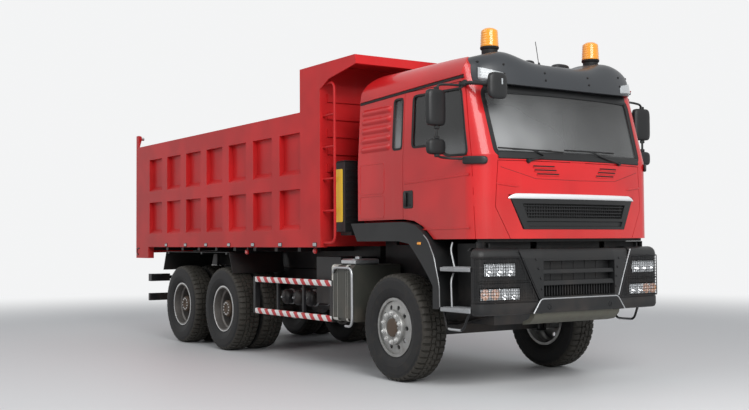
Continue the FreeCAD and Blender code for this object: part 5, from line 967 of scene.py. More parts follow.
def mirror_glass(shape, centre, half, slot):
    """The flat glass in a shell's rear."""
    a, b = half[1] * 0.86, half[2] * 0.86
    corner = rounded([(-a, -b), (a, -b), (a, b), (-a, b)], 0.03, 5, closed=True)
    rings = [np.insert(corner, 0, -half[0] * 0.45 - lift, axis=1) for lift in (0.0, 0.004)]
    shape.closed(np.stack(rings) + np.asarray(centre), slot)


def turned_out(shape, start, centre, angle):
    """Turn what was added since the start about an upright axis through the centre."""
    turn = np.array([[math.cos(angle), -math.sin(angle), 0], [math.sin(angle), math.cos(angle), 0],
                     [0, 0, 1]])
    for k in range(start, len(shape.points)):
        shape.points[k] = (shape.points[k] - centre) @ turn.T + centre


DOOR_X = 1.03
for name in ("right", "left"):
    piece = Shape("mirrors_" + name, bumper_black, mirror_face)
    for centre, half, rise in (((DOOR_X, -1.375, 2.640), (0.046, 0.112, 0.168), 6.0),
                               ((DOOR_X, -1.375, 2.278), (0.044, 0.108, 0.073), 4.0)):
        start = len(piece.points)
        shell(piece, centre, half, 3.0, rise)
        mirror_glass(piece, centre, half, 1)
        turned_out(piece, start, centre, 0.10)
    pole = rounded([(1.080, -1.085, 2.860), (1.050, -1.245, 2.862), (1.046, -1.368, 2.850),
                    (1.046, -1.376, 2.500), (1.046, -1.372, 2.185), (1.050, -1.240, 2.175),
                    (1.150, -1.125, 2.168)], 0.05)
    piece.tube(pole, 0.0115)
    for z in (2.815, 2.455, 2.362, 2.196):
        piece.block((DOOR_X + 0.001, -1.398, z - 0.016), (DOOR_X + 0.033, -1.350, z + 0.016), 0.006)
    piece.block((DOOR_X + 0.020, -1.122, 2.825), (DOOR_X + 0.082, -1.088, 2.895), 0.010)
    if name == "left":
        piece.mirror()
    piece.make("cab", "black_plastic", 40.0, ["mirror_" + name])

# %% [markdown]
# Low on each corner pillar sits a moulded air deflector, and on the right a small round-backed mirror looks
# down at the kerb from an arm under the visor. Deflectors and fins are rounded bars that swell and fade
# along the run.
# %% Corner housings and kerb mirror
corners = Shape("corner_housings", bumper_black)
t = np.linspace(0.0, 1.0, 25)[:, None]
w = np.linspace(0.0, 2 * math.pi, 25)[None, :-1]
lead = 1.160 + 0.215 * t
swell = np.clip(np.minimum(t, 1 - t) / 0.10, 0.0, 1.0) ** 0.45
wall = side_y(2.155) - np.clip(lead - (NOSE - SWEEP), 0, None) ** 2 / (2 * CORNER) * 1.10
y = wall + 0.008 + (0.026 - 0.006 * t) * swell * bent(np.cos(w), 0.45)
z = 2.152 + 0.037 * swell * bent(np.sin(w), 0.45) - 0.006 * t
corners.closed(xyz(lead, -y, z), flip=True)
corners.both_sides()
corners.make("cab", "black_plastic", 40.0)

kerb = Shape("kerb_mirror_shell", bumper_black, white_lens)
shell(kerb, (1.410, -0.950, 2.828), (0.036, 0.110, 0.122), 2.8, 4.0)
kerb.block((1.4435, -0.930, 2.836), (1.4495, -0.914, 2.892), 0.002, 1)
arm = rounded([(1.130, -1.100, 2.872), (1.220, -1.118, 2.866), (1.330, -1.060, 2.852),
               (1.395, -0.975, 2.840)], 0.05)
kerb.tube(along(arm, 0.03), 0.019)
kerb.block((1.100, -1.128, 2.845), (1.165, -1.092, 2.905), 0.012)
kerb.make("cab", "black_plastic", 40.0)

# %% [markdown]
# Each beacon has a black rubber foot and an amber dome with a ribbed inside, so the light breaks up in it.
# The profile is turned about the upright axis. The visor's shoulders carry them.
# %% Beacons
lights = Shape("beacon_domes", amber_lens, seal_and_shade_black)
BEACON, DOME_LOW, DOME_TALL = (0.985, -0.680, 0.0), 3.278, 0.174
lights.turned([(3.168, 0.0005), (3.168, 0.072), (3.180, 0.078), (3.246, 0.078), (3.256, 0.090),
               (3.272, 0.092), (3.278, 0.084), (3.278, 0.0005)], BEACON, "Z", 36, 1)
h = np.linspace(0.0, 1.0, 18)
ribs = np.where(np.arange(18) % 2, 1.0, 0.975)
radius = 0.090 * (1 - 0.10 * h) * (1 - np.clip((h - 0.80) / 0.20, 0.0, None) ** 3 * 0.35) * ribs
dome = [(DOME_LOW, 0.0005), *zip(DOME_LOW + DOME_TALL * h, radius), (3.4545, 0.050), (3.455, 0.0005)]
lights.turned(dome, BEACON, "Z", 36)
lights.both_sides()
lights.make("cab", "beacon_lens", 50.0, ["beacons"])

# %% [markdown]
# Behind the visor a whip aerial leans back from the roof, and two low air horns lie beside it. Their domes
# show just over the visor's dip. The aerial is a tube whose radius stays the same, the horns are soft
# boxes.
# %% Roof gear
roof_gear = Shape("roof_gear", seal_and_shade_black, chassis_black)
aerial = [(0.900, 0.040, 3.150), (0.886, 0.040, 3.240), (0.868, 0.040, 3.335), (0.850, 0.040, 3.425)]
roof_gear.tube(aerial, 0.0038, 6)
roof_gear.turned([(3.150, 0.0005), (3.150, 0.020), (3.180, 0.016), (3.205, 0.007), (3.205, 0.0005)],
                 (0.900, 0.040, 0.0), "Z", 16)
for y, reach in ((-0.105, 0.055), (0.330, 0.105)):
    shell(roof_gear, (0.900, y, 3.178), (0.060, reach, 0.036), 2.6, 2.6, 1)
roof_gear.make("cab", "black_plastic", 40.0)

# %% [markdown]
# The cab's front corners carry a small red fin, a finger-thick moulding that turns the air along the side.
# Its section is an ellipse that swells and fades along the run.
# %% Corner fins
fins = Shape("corner_fins", cab_red)
t = np.linspace(0.0, 1.0, 21)[:, None]
w = np.linspace(0.0, 2 * math.pi, 13)[None, :-1]
y = 0.700 + 0.260 * t
swell = np.clip(np.minimum(t, 1 - t) / 0.18, 0.0, 1.0) ** 0.6
x = nose_x(y, 1.915) - 0.004 + (0.004 + 0.010 * swell) * np.cos(w)
z = 1.907 + 0.030 * t + 0.011 * swell * np.sin(w)
fins.closed(xyz(x, -y, z), flip=True)
fins.both_sides()
fins.make("cab", "cab_paint", 40.0)

# %% [markdown]
# The cab's side is a pressed panel. The stamping behind the door carries five soft ribs, a drip rail runs
# over the doors, and each window sits in a rubber seal with round corners. A soft rib is a raised
# half-wave. All of it is built on the right side and mirrored.
# %% Side panel pressings and rails
def on_side(points, out):
    """Places (x, z) on the right side wall."""
    x, z = np.asarray(points, float).T
    return xyz(x, -side_y(z, out), z)


def band_on_side(shape, path, width, out, slot=0, closed=False, thick=0.006):
    """A strip along a path (x, z) on the side wall."""
    band(shape, on_side, 0.70, path, width, out, slot, closed, thick)


pressings = Shape("rear_quarter_ribs", cab_red)
RIB_BACK, RIB_FRONT, RIB_HALF = -0.590, -0.045, 0.041
u, v = np.meshgrid(np.linspace(RIB_BACK, RIB_FRONT, 30), np.linspace(-RIB_HALF, RIB_HALF, 15), indexing="ij")
fade = np.clip(np.minimum(u - RIB_BACK, RIB_FRONT - u) / 0.050, 0.0, 1.0)
swell = np.cos(v / RIB_HALF * math.pi / 2) ** 1.3 * np.sin(fade * math.pi / 2)
for middle in np.linspace(2.375, 2.765, 5):
    pressings.sheet(xyz(u, -side_y(middle + v, -0.002 + 0.024 * swell), middle + v))
pressings.both_sides()
pressings.make("cab", "cab_paint", 60.0)

lines = Shape("side_panel_lines", cab_red)
for low, high in ((1.905, 2.215), (1.650, 1.880)):
    panel = rounded([(-0.600, low), (-0.150, low), (-0.150, high), (-0.600, high)], 0.045, 6, closed=True)
    band_on_side(lines, along(panel, 0.05), 0.010, 0.0035, 0, closed=True, thick=0.004)
lines.both_sides()
lines.make("cab", "cab_paint", 50.0)

rails = Shape("drip_rails", seal_and_shade_black, cab_red)
path = along(rounded([(-0.630, 2.872), (0.60, 2.925), (1.130, 2.942)], 0.3), 0.05)
band_on_side(rails, path, 0.030, 0.007, 0, thick=0.010)
band_on_side(rails, path + (0.0, 0.021), 0.014, 0.014, 1, thick=0.016)
rails.both_sides()
rails.make("cab", "black_plastic", 50.0)

# %% [markdown]
# The door window sits in a rubber seal whose lower edge steps down to the mirrors. The quarter window behind
# it has its own seal. The handle is a black pull in a dished plate with a lock below it, and two soft creases
# run along the door.
# %% Window seals and door handles
WINDOW = [(0.332, 2.335), (0.665, 2.330), (0.900, 2.212), (1.208, 2.203), (1.088, 2.834), (0.332, 2.848)]
QUARTER = [(0.002, 2.337), (0.158, 2.337), (0.158, 2.848), (0.002, 2.848)]
for door in ("right_door", "left_door"):
    seal = Shape(door + "_seal", seal_and_shade_black, bumper_black, cab_red)
    band_on_side(seal, looped(rounded(WINDOW, 0.055, 7, closed=True), 0.04), 0.026, 0.0035, 0, True, 0.008)
    bowl = rounded([(0.195, 1.735), (0.358, 1.735), (0.358, 1.912), (0.195, 1.912)], 0.022, 5, closed=True)
    seal.plate(bowl, -CAB_HALF - 0.006, -CAB_HALF + 0.004, "XZ", 0.003, 1)
    seal.block((0.225, -CAB_HALF - 0.030, 1.752), (0.262, -CAB_HALF - 0.006, 1.895), 0.008, 1)
    seal.knob([(0.004, 0.0005), (0.004, 0.014), (0.010, 0.012), (0.010, 0.0005)], (0.310, -CAB_HALF, 1.770),
              18)
    for low, high, width, out in ((1.985, 2.020, 0.020, 0.0045), (1.520, 1.530, 0.016, 0.0040)):
        band_on_side(seal, along([(0.215, low), (1.235, high)], 0.06), width, out, 2, thick=width / 4 + 0.001)
    if door == "left_door":
        seal.mirror()
    seal.make(door, "black_plastic", 45.0)

quarter_seals = Shape("quarter_seals", seal_and_shade_black)
quarter_path = looped(rounded(QUARTER, 0.040, 6, closed=True), 0.04)
band_on_side(quarter_seals, quarter_path, 0.026, 0.0035, 0, True, 0.008)
quarter_seals.both_sides()
quarter_seals.make("cab", "black_plastic", 45.0)

# %% [markdown]
# Through the glass one sees the cab's lining: a grey padded rear wall and headlining with soft corners, and a
# trim panel with an armrest on each door. Each is a slab bent out of one row of points, so nothing of the red
# sheet shows inside.
# %% Lining and door trims
lining = Shape("cab_lining", cab_inside, seal_and_shade_black)
profile = rounded([(-0.570, 1.700), (-0.560, 2.300), (-0.535, 2.860), (-0.320, 3.060), (0.500, 3.085),
                   (0.930, 3.020), (1.060, 2.905)], 0.16, 6)
x, z = profile[:, :1], profile[:, 1:]
cross = np.linspace(-1.0, 1.0, 31)
half = np.where(z < 2.4, 1.052, 1.052 - 0.045 * (z - 2.4))
sag = 0.060 * np.abs(cross) ** 6 + 0.006 * np.cos(cross * math.pi * 6) ** 2
visor_flap = rounded([(0.835, -0.930), (1.010, -0.930), (1.010, -0.640), (0.835, -0.640)], 0.03, 5,
                     closed=True)
lining.plate(visor_flap, 3.000, 3.018, "XY", 0.004, 1)
lining.both_sides()
lining.sheet(xyz(x, cross * half, z - sag * (z > 2.9)))
lining.make("cab", "dash_plastic", 50.0)

for door in ("right_door", "left_door"):
    trim = Shape(door + "_trim", cab_inside, seal_and_shade_black)
    outline = rounded([(0.290, 1.720), (1.060, 1.720), (1.150, 1.850), (1.150, 2.140), (0.900, 2.150),
                       (0.660, 2.270), (0.290, 2.275)], 0.06, 5, closed=True)
    trim.plate(outline, -1.096, -1.072, "XZ", 0.006)
    trim.block((0.400, -1.078, 1.955), (0.850, -1.012, 2.010), 0.014, 1)
    if door == "left_door":
        trim.mirror()
    trim.make(door, "dash_plastic", 45.0)

# %% [markdown]
# The bumper is three mouldings. Each corner unit carries the lamps, rounds into the side and ends towards the
# middle in a slanting edge; the middle unit sits between the two slants with the air intake in it. Seen from
# above the units follow one plan. A grid of points is laid over it, with rows and columns standing in pairs
# where the surface steps back into a lamp pocket.
# %% Bumper units
BUMPER_PLAN = rounded([(1.300, 1.196), (1.352, 1.194), (1.400, 1.150), (1.4145, 1.040), (1.428, 0.760),
                       (1.452, 0.600), (1.478, 0.490), (1.478, 0.0)], 0.05, 6)
PLAN_RUN = np.concatenate([[0.0], np.cumsum(np.linalg.norm(np.diff(BUMPER_PLAN, axis=0), axis=1))])
PLAN_X, PLAN_Y = BUMPER_PLAN[:, 0], BUMPER_PLAN[:, 1]


def on_plan(run, out=0.0):
    """x and y at a distance along the plan, moved outwards along its normal."""
    step = 0.004
    x, y = np.interp(run, PLAN_RUN, PLAN_X), np.interp(run, PLAN_RUN, PLAN_Y)
    dx = np.interp(run + step, PLAN_RUN, PLAN_X) - np.interp(run - step, PLAN_RUN, PLAN_X)
    dy = np.interp(run + step, PLAN_RUN, PLAN_Y) - np.interp(run - step, PLAN_RUN, PLAN_Y)
    size = np.hypot(dx, dy)
    return x - out * dy / size, y + out * dx / size


def plan_run(y):
    """The distance along the plan at which it has come in to a half-width."""
    return np.interp(-np.asarray(y, float), -PLAN_Y, PLAN_RUN)


SLANT_Y, SLANT_WIDE, SLANT_Z, SLANT_TALL = 0.520, 0.225, 0.860, 0.475


def slant(z):
    """Half-width of the slanting edge between the corner unit and the middle one."""
    return SLANT_Y + np.clip((np.asarray(z, float) - SLANT_Z) / SLANT_TALL, -0.4, 1.1) * SLANT_WIDE


def paired(low, high, apart=0.004):
    """Rows of points on both sides of two places where the surface steps back."""
    return [low - apart, low + apart, high - apart, high + apart]


HEAD, FOG = (0.770, 1.125, 1.083, 1.204), (0.725, 1.160, 0.868, 0.978)
corner_z = np.sort([0.7285, 0.731, 0.740, 0.765, 0.800, 0.838, 0.842, 1.020, 1.028, 1.036, 1.044, 1.258,
                    1.262, 1.272, 1.305, 1.327, 1.341, 1.345] + paired(*HEAD[2:]) + paired(*FOG[2:]))
front_y = np.sort(paired(*HEAD[:2]) + paired(*FOG[:2]))[::-1]
edge_share = np.array([0.75, 0.5, 0.25, 0.06, 0.0])

corner_unit = Shape("bumper_corners", bumper_black)
front_run = np.concatenate([np.linspace(0.0, plan_run(front_y[0]), 16)[:-1], plan_run(front_y)])
edge = slant(corner_z)[:, None]
tail = plan_run(edge + (front_y[-1] - edge) * edge_share)
runs = np.hstack([np.tile(front_run, (len(corner_z), 1)), tail])
z_grid = corner_z[:, None]
y_grid = on_plan(runs)[1]
out = np.zeros_like(runs)
for y0, y1, z0, z1 in (HEAD, FOG):
    out = np.where((y_grid > y0) & (y_grid < y1) & (z_grid > z0) & (z_grid < z1), -0.045, out)
out = np.where((z_grid > 1.022) & (z_grid < 1.042) & (y_grid > 0.600) & (y_grid < 1.17), 0.004, out)
out = np.where((z_grid > 0.841) & (z_grid < 1.260) & (out == 0.0), -0.006, out)
top = np.clip((z_grid - 1.270) / 0.075, 0.0, 1.0)
bottom = np.clip((0.765 - z_grid) / 0.0365, 0.0, 1.0)
out = out - 0.075 * (1 - np.sqrt(1 - top ** 2)) - 0.040 * (1 - np.sqrt(1 - bottom ** 2))
out[:, -1] -= 0.020
x_grid, y_grid = on_plan(runs, out)
grid = xyz(x_grid, -y_grid, z_grid)
corner_unit.sheet(grid)
corner_unit.sheet(np.stack([grid[-1] - (back, 0, drop)
                            for back, drop in ((0.0, 0.0), (0.10, 0.002), (0.14, 0.03))]))
corner_unit.both_sides()
corner_unit.make("chassis", "black_plastic", 32.0, ["bumper"])

middle = Shape("bumper_middle", bumper_black, seal_and_shade_black, chassis_black)
for y, z, sides in ((0.545, 1.236, 6), (0.520, 1.150, 6), (0.497, 1.060, 6), (0.487, 0.960, 6),
                    (0.40, 0.785, 20)):
    middle.turned([(0.008, 0.0005), (0.008, 0.008), (0.006, 0.012), (0.000, 0.013), (0.000, 0.0005)],
                  (on_plan(plan_run(y))[0] - 0.002, -y, z), "X", sides, 2)
# Dark panels behind the bumper: partly the dark parts behind it and partly painted shade.
middle.block((1.150, -0.970, 0.760), (1.170, -0.505, 1.424), 0.006, 1)
# Black strips set far back in the gap between the bumper and the cab: painted shade.
for first, last in ((0.0, plan_run(0.515)), (plan_run(0.415), PLAN_RUN[-1])):
    run = np.linspace(first, last, 30)
    walls = [on_plan(run, out) for out in (-0.150, -0.165)]
    rows = ((walls[0], 1.305), (walls[0], 1.398), (walls[1], 1.398), (walls[1], 1.305))
    middle.sheet(np.stack([xyz(x, -y, z) for (x, y), z in rows], 1), slot=1)
middle.both_sides()
# The panel behind the intake is the same: partly the dark parts behind it and partly painted shade.
middle.block((1.150, -0.430, 0.760), (1.170, 0.430, 1.424), 0.006, 1)

OPEN_HALF, OPEN_LOW, OPEN_TOP = 0.465, 0.890, 1.215
middle_z = np.sort([0.850, 0.853, 0.862, 1.240, 1.246, 1.300, 1.318, 1.330, 1.335]
                   + paired(OPEN_LOW, OPEN_TOP))
rim = paired(-OPEN_HALF, OPEN_HALF)
across = np.concatenate([rim[:1], np.linspace(rim[1], rim[2], 21), rim[3:]])
ends = (slant(middle_z)[:, None] - 0.010) * (1.0, 0.985, 0.96)
y_grid = np.hstack([-ends, np.tile(across, (len(middle_z), 1)), ends[:, ::-1]])
z_grid = middle_z[:, None]
opening = (np.abs(y_grid) < OPEN_HALF) & (z_grid > OPEN_LOW) & (z_grid < OPEN_TOP)
back = np.where(opening, -0.080, 0.0)
back[:, [0, -1]] -= 0.020
back[[0, -1]] -= 0.020
back = back - 0.045 * np.clip((z_grid - 1.246) / 0.089, 0, 1) ** 2
x_grid = on_plan(plan_run(np.abs(y_grid)))[0] + back
grid = xyz(x_grid, y_grid, z_grid)
middle.sheet(grid, flip=True)
lip = [grid[-1] - (inwards, 0, drop) for inwards, drop in ((0.0, 0.0), (0.005, 0.0), (0.006, 0.02))]
middle.sheet(np.stack(lip), flip=True)
BAR_X, BAR_HALF = 1.470, 0.462
for z, half in ((1.118, 0.020), (1.012, 0.022)):
    section = [(BAR_X - 0.004, z - half), (BAR_X, z - half + 0.006), (BAR_X - 0.012, z + half),
               (BAR_X - 0.060, z + half), (BAR_X - 0.060, z - half)]
    middle.closed([[(x, y, level) for x, level in section] for y in (-BAR_HALF, BAR_HALF)])
for y in np.linspace(-0.435, 0.435, 26):
    middle.block((1.405, y - 0.005, 0.892), (1.440, y + 0.005, 0.994), 0.002)
for y in np.linspace(-0.30, 0.30, 5):
    middle.block((1.386, y - 0.012, 0.990), (1.404, y + 0.012, 1.212), 0.003, 2)
middle.make("chassis", "black_plastic", 32.0)

# %% [markdown]
# Under the intake a pressed steel guard with a bright worn edge bolts over the towing eyes, and below it
# the skid panel shows, sprayed a pale field green. A thin strip runs down each slanting edge of the bumper:
# dark on the right and bright on the left.
# %% Guard, skid panel and edge strips
skid_green = metal("skid_green", (0.105, 0.103, 0.080), 0.5, 0.25, None, 0.45)
guard = Shape("front_guard", bumper_black, plain_steel, skid_green, chassis_black)
guard.turned([(0.001, 0.0005), (0.001, 0.015), (0.006, 0.017), (0.005, 0.024), (0.0, 0.026), (0.0, 0.0005)],
             (1.4815, -0.400, 0.790), "X", 24)
guard.both_sides()
guard_line = [(-0.600, 0.738), (-0.505, 0.868), (0.505, 0.868), (0.600, 0.738)]
guard.plate(guard_line, 1.458, 1.482, "YZ", 0.006)
edge_path = np.array([(1.480, y, z) for y, z in guard_line])
guard.tube(along(rounded(edge_path, 0.03), 0.05), 0.0070, 8, slot=1)
skid = [(1.452, 0.742), (1.440, 0.700), (1.380, 0.640), (1.280, 0.622), (1.280, 0.650), (1.360, 0.680),
        (1.400, 0.742)]
guard.closed([[(x, y, z) for x, z in skid] for y in np.linspace(-0.56, 0.56, 9)], 2)
z = np.linspace(0.872, 1.322, 12)
x, y = on_plan(plan_run(slant(z) - 0.004), 0.004)
guard.tube(xyz(x, -y, z), 0.0065, 8, 3)
guard.tube(xyz(x, y, z), 0.0065, 8, 1)
guard.make("chassis", "black_plastic", 35.0)

# %% [markdown]
# A lamp is a pocket with bright reflector bowls under a clear cover, behind a welded mesh that keeps stones
# off. The mesh's wires run across and up the corner unit, following its plan.
# %% Lamps and mesh guards
lamps = Shape("lamp_reflectors", mirror_face, amber_lens, lamp_lens)
for y0, y1, z0, z1, count, amber in ((*HEAD, 3, 0), (*FOG, 4, 2)):
    z = (z0 + z1) / 2
    for k in range(count):
        y = y1 - (y1 - y0) * (k + 0.5) / count
        radius = min((z1 - z0) * 0.46, (y1 - y0) / count * 0.47)
        front = on_plan(plan_run(y))[0] - 0.010
        bowl = [(front - 0.036 + 0.034 * q ** 2, max(0.0005, radius * q)) for q in np.linspace(0.0, 1.0, 9)]
        lamps.turned(bowl, (0.0, -y, z), "X", 28, 1 if k < amber else 0)
        lamps.turned([(-0.026, radius * 0.26), (-0.012, radius * 0.24), (-0.012, 0.0005)], (front, -y, z),
                     "X", 18)
    for y_wall in np.linspace(y0, y1, count + 1)[1:-1]:
        front = on_plan(plan_run(y_wall))[0] - 0.012
        lamps.block((front - 0.030, -y_wall - 0.003, z0 + 0.006), (front, -y_wall + 0.003, z1 - 0.006), 0.001)
    run = np.linspace(plan_run(y1 - 0.004), plan_run(y0 + 0.004), 16)[None, :]
    level = np.linspace(z0 + 0.004, z1 - 0.004, 8)[:, None]
    x, y = on_plan(run, -0.006 + 0.006 * np.sin((level - z0) / (z1 - z0) * math.pi))
    lamps.sheet(xyz(x, -y, level), slot=2)
lamps.both_sides()
lamps.make("chassis", "lamp_glass", 50.0, ["headlamps"])

mesh_guard = Shape("lamp_guards", chassis_black)
MESH_LOW, MESH_TOP, MESH_OUT, WIRE, RIM = 0.862, 1.250, 0.010, 0.0022, 0.0045


def level_wire(z, far, near, radius, sides):
    """A wire of the mesh guard at one height, between two half-widths."""
    x, y = on_plan(np.linspace(plan_run(far), plan_run(near), 34), MESH_OUT)
    mesh_guard.tube(xyz(x, -y, z), radius, sides)


for z in np.linspace(MESH_LOW, MESH_TOP, 15):
    level_wire(z, 1.193, slant(z) + 0.025, WIRE, 5)
for run in np.linspace(plan_run(1.194), plan_run(0.560), 25):
    x, y = on_plan(run, MESH_OUT + 0.002)
    top = MESH_TOP
    if y <= slant(MESH_TOP) + 0.02:
        top = SLANT_Z + (y - 0.020 - SLANT_Y) / SLANT_WIDE * SLANT_TALL
    mesh_guard.tube([(x, -y, z) for z in np.linspace(MESH_LOW, top, 3)], WIRE, 5)
rim_z = np.linspace(MESH_LOW - 0.006, MESH_TOP + 0.006, 9)
for z in rim_z[[0, -1]]:
    level_wire(z, 1.1935, slant(z) + 0.022, RIM, 6)
x, y = on_plan(plan_run(slant(rim_z) + 0.022), MESH_OUT)
mesh_guard.tube(xyz(x, -y, rim_z), RIM, 6)
mesh_guard.both_sides()
mesh_guard.make("chassis", "black_plastic", 50.0)

# %% [markdown]
# Between the wheels hang the things a driver reaches from the ground: serrated aluminium treads, a bent bar
# as the first step, grab rods, the straps and bright hoop that hold the tank, air tanks with pressed round
# ends, and the side guard. The guard's rails carry the warning band, and its posts are plain. A grey lip
# edges each front fender as a painted highlight along its rounded edge, and a flat liner closes the arch on
# its inner side.
# %% Steps, side guard and tanks
tread_metal = metal("tread_metal", (0.40, 0.41, 0.42), 0.42, 0.6, None, 0.30)
# Grey for the fender lips: a painted highlight.
fender_lip_highlight = metal("fender_lip_highlight", (0.20, 0.205, 0.21), 0.30, 0.4, None, 0.3)
gear = Shape("step_treads", tread_metal, chassis_black, plain_steel, fender_lip_highlight)
for z in (1.165, 0.790):
    gear.block((0.856, -1.204, z - 0.037), (1.298, -1.188, z + 0.001), 0.003)
    for x in np.linspace(0.866, 1.288, 32):
        gear.block((x - 0.0035, -1.2085, z - 0.032), (x + 0.0035, -1.2035, z - 0.004), 0.001)
    for y in np.linspace(-1.175, -1.02, 5):
        gear.block((0.870, y - 0.010, z), (1.285, y + 0.010, z + 0.006), 0.002)
for rod in ([(0.945, -1.120, 1.395), (0.955, -1.150, 1.330), (1.010, -1.150, 1.165)],
            [(0.955, -1.120, 1.110), (0.955, -1.150, 1.040), (0.965, -1.150, 0.795)]):
    gear.tube(rounded(rod, 0.04), 0.009, 8, 2)
loop = rounded([(0.800, -1.120, 0.775), (0.870, -1.135, 0.585), (1.110, -1.135, 0.585),
                (1.200, -1.120, 0.775)], 0.05)
gear.tube(along(loop, 0.04), 0.0125, 10, 1)
gear.tube(along(loop[len(loop) // 2 - 2:len(loop) // 2 + 2], 0.04), 0.0135, 10, 2)
# The lip's grey is a painted highlight along the fender's rounded edge.
lip = rounded([(0.600, 1.470), (0.667, 1.421), (0.763, 1.258), (0.812, 1.087), (0.842, 0.988),
               (0.847, 0.790)], 0.05)
gear.tube(along([(x, -1.2035, z) for x, z in lip], 0.04), 0.0055, 8, 3)
liner = [(-0.900, 1.020), (0.740, 1.020), (0.740, 1.330), (0.300, 1.372), (-0.900, 1.372)]
gear.plate(liner, -0.506, -0.500, "XZ", 0.002, 1)
gear.both_sides()
gear.make("chassis", "dark_steel")

RAIL_FRONT, RAIL_BACK = -1.120, -2.940
rails = Shape("side_guard_rails", guard_bands, chassis_black)
for low in (0.918, 0.530):
    section = [(-1.170, low), (-1.194, low + 0.002), (-1.2, low + 0.010), (-1.2, low + 0.058),
               (-1.194, low + 0.066), (-1.170, low + 0.068)]
    ends = (RAIL_BACK, RAIL_BACK + 0.004, RAIL_FRONT - 0.004, RAIL_FRONT)
    rails.closed([[(x, y, z) for y, z in section] for x in ends])
for x in (RAIL_BACK - 0.060, RAIL_FRONT - 0.040):
    rails.block((x, -1.196, 0.528), (x + 0.058, -1.125, 0.990), 0.005, 1)
for x in (RAIL_BACK + 0.50, RAIL_BACK + 1.12):
    rails.block((x, -1.169, 0.560), (x + 0.040, -1.135, 0.960), 0.005, 1)
rails.both_sides()
rails.make("chassis", "guard_paint", 40.0, ["side_guards"])

pale_strap = metal("pale_strap", (0.62, 0.61, 0.57), 0.42, 0.35, None, 0.15)
straps = Shape("tank_straps", pale_strap, plain_steel, chassis_black)
path = rounded([(-0.62, 1.163), (-1.170, 1.164), (-1.1925, 1.142), (-1.1935, 0.568), (-1.170, 0.547),
                (-0.62, 0.546)], 0.03, 5)
step = np.gradient(path, axis=0)
step /= np.linalg.norm(step, axis=1, keepdims=True)
normal = np.stack([step[:, 1], -step[:, 0]], 1)
for front, width in ((-1.000, 0.115), (-0.792, 0.036)):
    rims = ((front - width, 0.0), (front - width, -0.006), (front, -0.006), (front, 0.0))
    straps.sheet(np.stack([xyz(x, *(path + normal * lift).T) for x, lift in rims], 1))
hoop = rounded([(-1.080, -1.200, 1.075), (-1.030, -1.212, 1.130), (-0.700, -1.212, 1.130),
                (-0.672, -1.212, 1.060), (-0.672, -1.212, 0.560), (-0.720, -1.206, 0.505),
                (-0.840, -1.190, 0.505)], 0.07, 8)
straps.tube(along(hoop, 0.04), 0.014, 12, 1)
straps.block((-1.000, -1.150, 1.160), (-0.720, -0.820, 1.225), 0.016, 1)
straps.turned([(1.222, 0.0005), (1.222, 0.034), (1.246, 0.036), (1.252, 0.030), (1.252, 0.0005)],
              (-0.780, -1.060, 0.0), "Z", 28, 1)
straps.turned([(1.160, 0.0005), (1.160, 0.058), (1.186, 0.060), (1.192, 0.052), (1.192, 0.0005)],
              (-0.93, 0.95, 0.0), "Z", 28, 2)
straps.make("chassis", "tank_steel", 40.0)

AIR_END, AIR_Z = -1.040, 0.750
domes = Shape("air_tank_ends", chassis_black, plain_steel)
dome = [(-0.030, 0.0005), (-0.030, 0.0915), (-0.018, 0.0935), (-0.010, 0.0915)]
dome += [(-0.010 + 0.048 * math.sqrt(max(0.0, 1 - r ** 2.4)), max(0.0005, 0.0905 * r))
         for r in np.linspace(1.0, 0.0, 14)]
for x in (-1.880, -2.160, -2.440):
    domes.knob(dome, (x, AIR_END, AIR_Z), 32)
    domes.knob([(0.030, 0.013), (0.060, 0.012), (0.060, 0.0005)], (x, AIR_END, AIR_Z), 8, 1)
    for y in (AIR_END + 0.08, AIR_END + 0.24):
        domes.knob([(-0.012, 0.0905), (-0.012, 0.0935), (0.012, 0.0935), (0.012, 0.0905)], (x, y, AIR_Z),
                   32, 1)
domes.make("chassis", "dark_steel", 40.0)

# %% [markdown]
# A broad black duct stands behind the cab and feeds the engine. A blank yellow plate is fixed to its side: on
# the real one it carries a printed notice, which is left off. The fender has a small amber marker.
# %% Duct, plate and markers
plate_yellow = Finish("plate_yellow", Roughness=0.42)
scuff = plate_yellow.noise(30.0, 5.0, 0.6).smooth(0.55, 0.80)
plate_yellow.give(Base_Color=plate_yellow.mix(scuff * 0.35, (0.82, 0.53, 0.035), (0.45, 0.30, 0.06)))
duct = Shape("duct_trim", plate_yellow.material, bumper_black)
plan = rounded([(-1.110, 1.625), (-0.945, 1.625), (-0.945, 2.205), (-1.110, 2.205)], 0.015, 4, closed=True)
duct.plate(plan, -1.156, -1.151, "XZ", 0.0015)
for z in np.linspace(1.62, 2.20, 9):
    duct.block((-0.902, -1.135, z - 0.012), (-0.893, -0.915, z + 0.012), 0.003, 1)
duct.block((-1.105, -1.140, 2.278), (-0.915, -0.910, 2.300), 0.012, 1)
duct.make("chassis", "black_plastic")

marker = Shape("side_markers", amber_lens)
marker.block((0.490, -1.206, 1.375), (0.550, -1.180, 1.402), 0.005)
marker.both_sides()
marker.make("chassis", "lamp_glass")

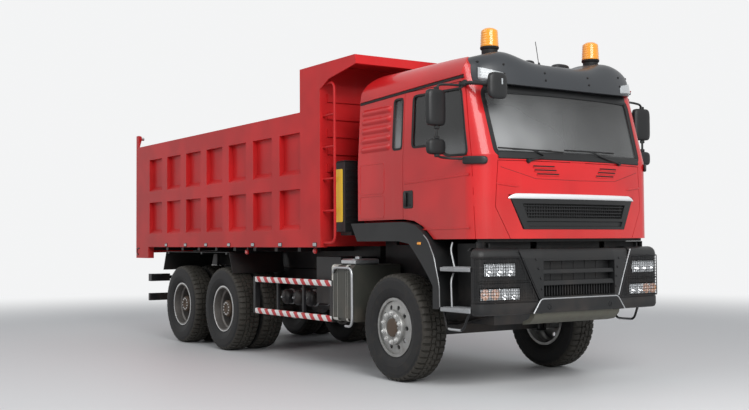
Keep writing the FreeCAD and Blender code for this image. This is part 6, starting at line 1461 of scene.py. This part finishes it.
# %% [markdown]
# The tipping body is a welded steel box, so it keeps its CAD shape. What it carries is added: small white
# reflectors along the lower rail, two round red ones under it, the bent tube of the ladder, and the
# tailgate's hinge and latch gear.
# %% Reflectors and ladder
reflectors = Shape("body_reflectors", white_lens, seal_and_shade_black, red_lens, chassis_black)
for x in (-5.69, -4.99, -4.30, -3.59, -2.91, -2.20, -1.39):
    reflectors.block((x - 0.042, -1.2515, 1.356), (x + 0.042, -1.240, 1.404), 0.004, 1)
    reflectors.block((x - 0.036, -1.2555, 1.362), (x + 0.036, -1.248, 1.398), 0.003)
for x, z in ((-3.189, 1.288), (-1.487, 1.308)):
    reflectors.knob([(1.176, 0.0005), (1.176, 0.031), (1.194, 0.031), (1.196, 0.026), (1.203, 0.023),
                     (1.206, 0.015), (1.207, 0.0005)], (x, 0.0, z), 24, 2)
    reflectors.block((x - 0.016, -1.180, z - 0.020), (x + 0.016, -1.120, 1.375), 0.004, 3)
reflectors.both_sides()
reflectors.make("tipping_body", "body_paint")

ladder = Shape("ladder_tube", body_red)
WALL_X, RAIL_X, LADDER_Y, LADDER_Z = -1.275, -1.030, -1.200, (1.400, 3.170)
rail = rounded([(WALL_X, LADDER_Y, LADDER_Z[1]), (RAIL_X, LADDER_Y, LADDER_Z[1]),
                (RAIL_X, LADDER_Y, LADDER_Z[0]), (WALL_X, LADDER_Y, LADDER_Z[0])], 0.09, 9)
ladder.tube(along(rail, 0.05), 0.0150, 12)
for z in np.linspace(*LADDER_Z, 6)[1:-1]:
    ladder.tube([(WALL_X, LADDER_Y, z), ((WALL_X + RAIL_X) / 2, LADDER_Y, z),
                 (RAIL_X - 0.006, LADDER_Y, z)], 0.0125)
    ladder.turned([(-0.004, 0.026), (0.005, 0.018), (0.014, 0.0130)], (WALL_X, LADDER_Y, z), "X", 14)
ladder.make("tipping_body", "ladder_paint", 40.0, ["bed_ladder"])

# %% [markdown]
# At the tail, the gate hangs from two pins above the side walls and is held below by a bent hook on each
# side.
# %% Tailgate pins and hooks
tail = Shape("body_hardware", chassis_black, plain_steel)
HINGE_X, HINGE_Z = -6.860, 3.040
tail.knob([(1.140, 0.0005), (1.140, 0.022), (1.152, 0.025), (1.228, 0.025), (1.240, 0.020), (1.240, 0.0005)],
          (HINGE_X, 0.0, HINGE_Z), 20, 1)
hook = rounded([(0.095, 1.330), (0.020, 1.330), (-0.010, 1.270), (0.020, 1.225), (0.060, 1.240)], 0.025)
tail.tube([(HINGE_X + x, -1.243, z) for x, z in hook], 0.011, 8)
tail.both_sides()
tail.make("tipping_body", "body_paint", 40.0)
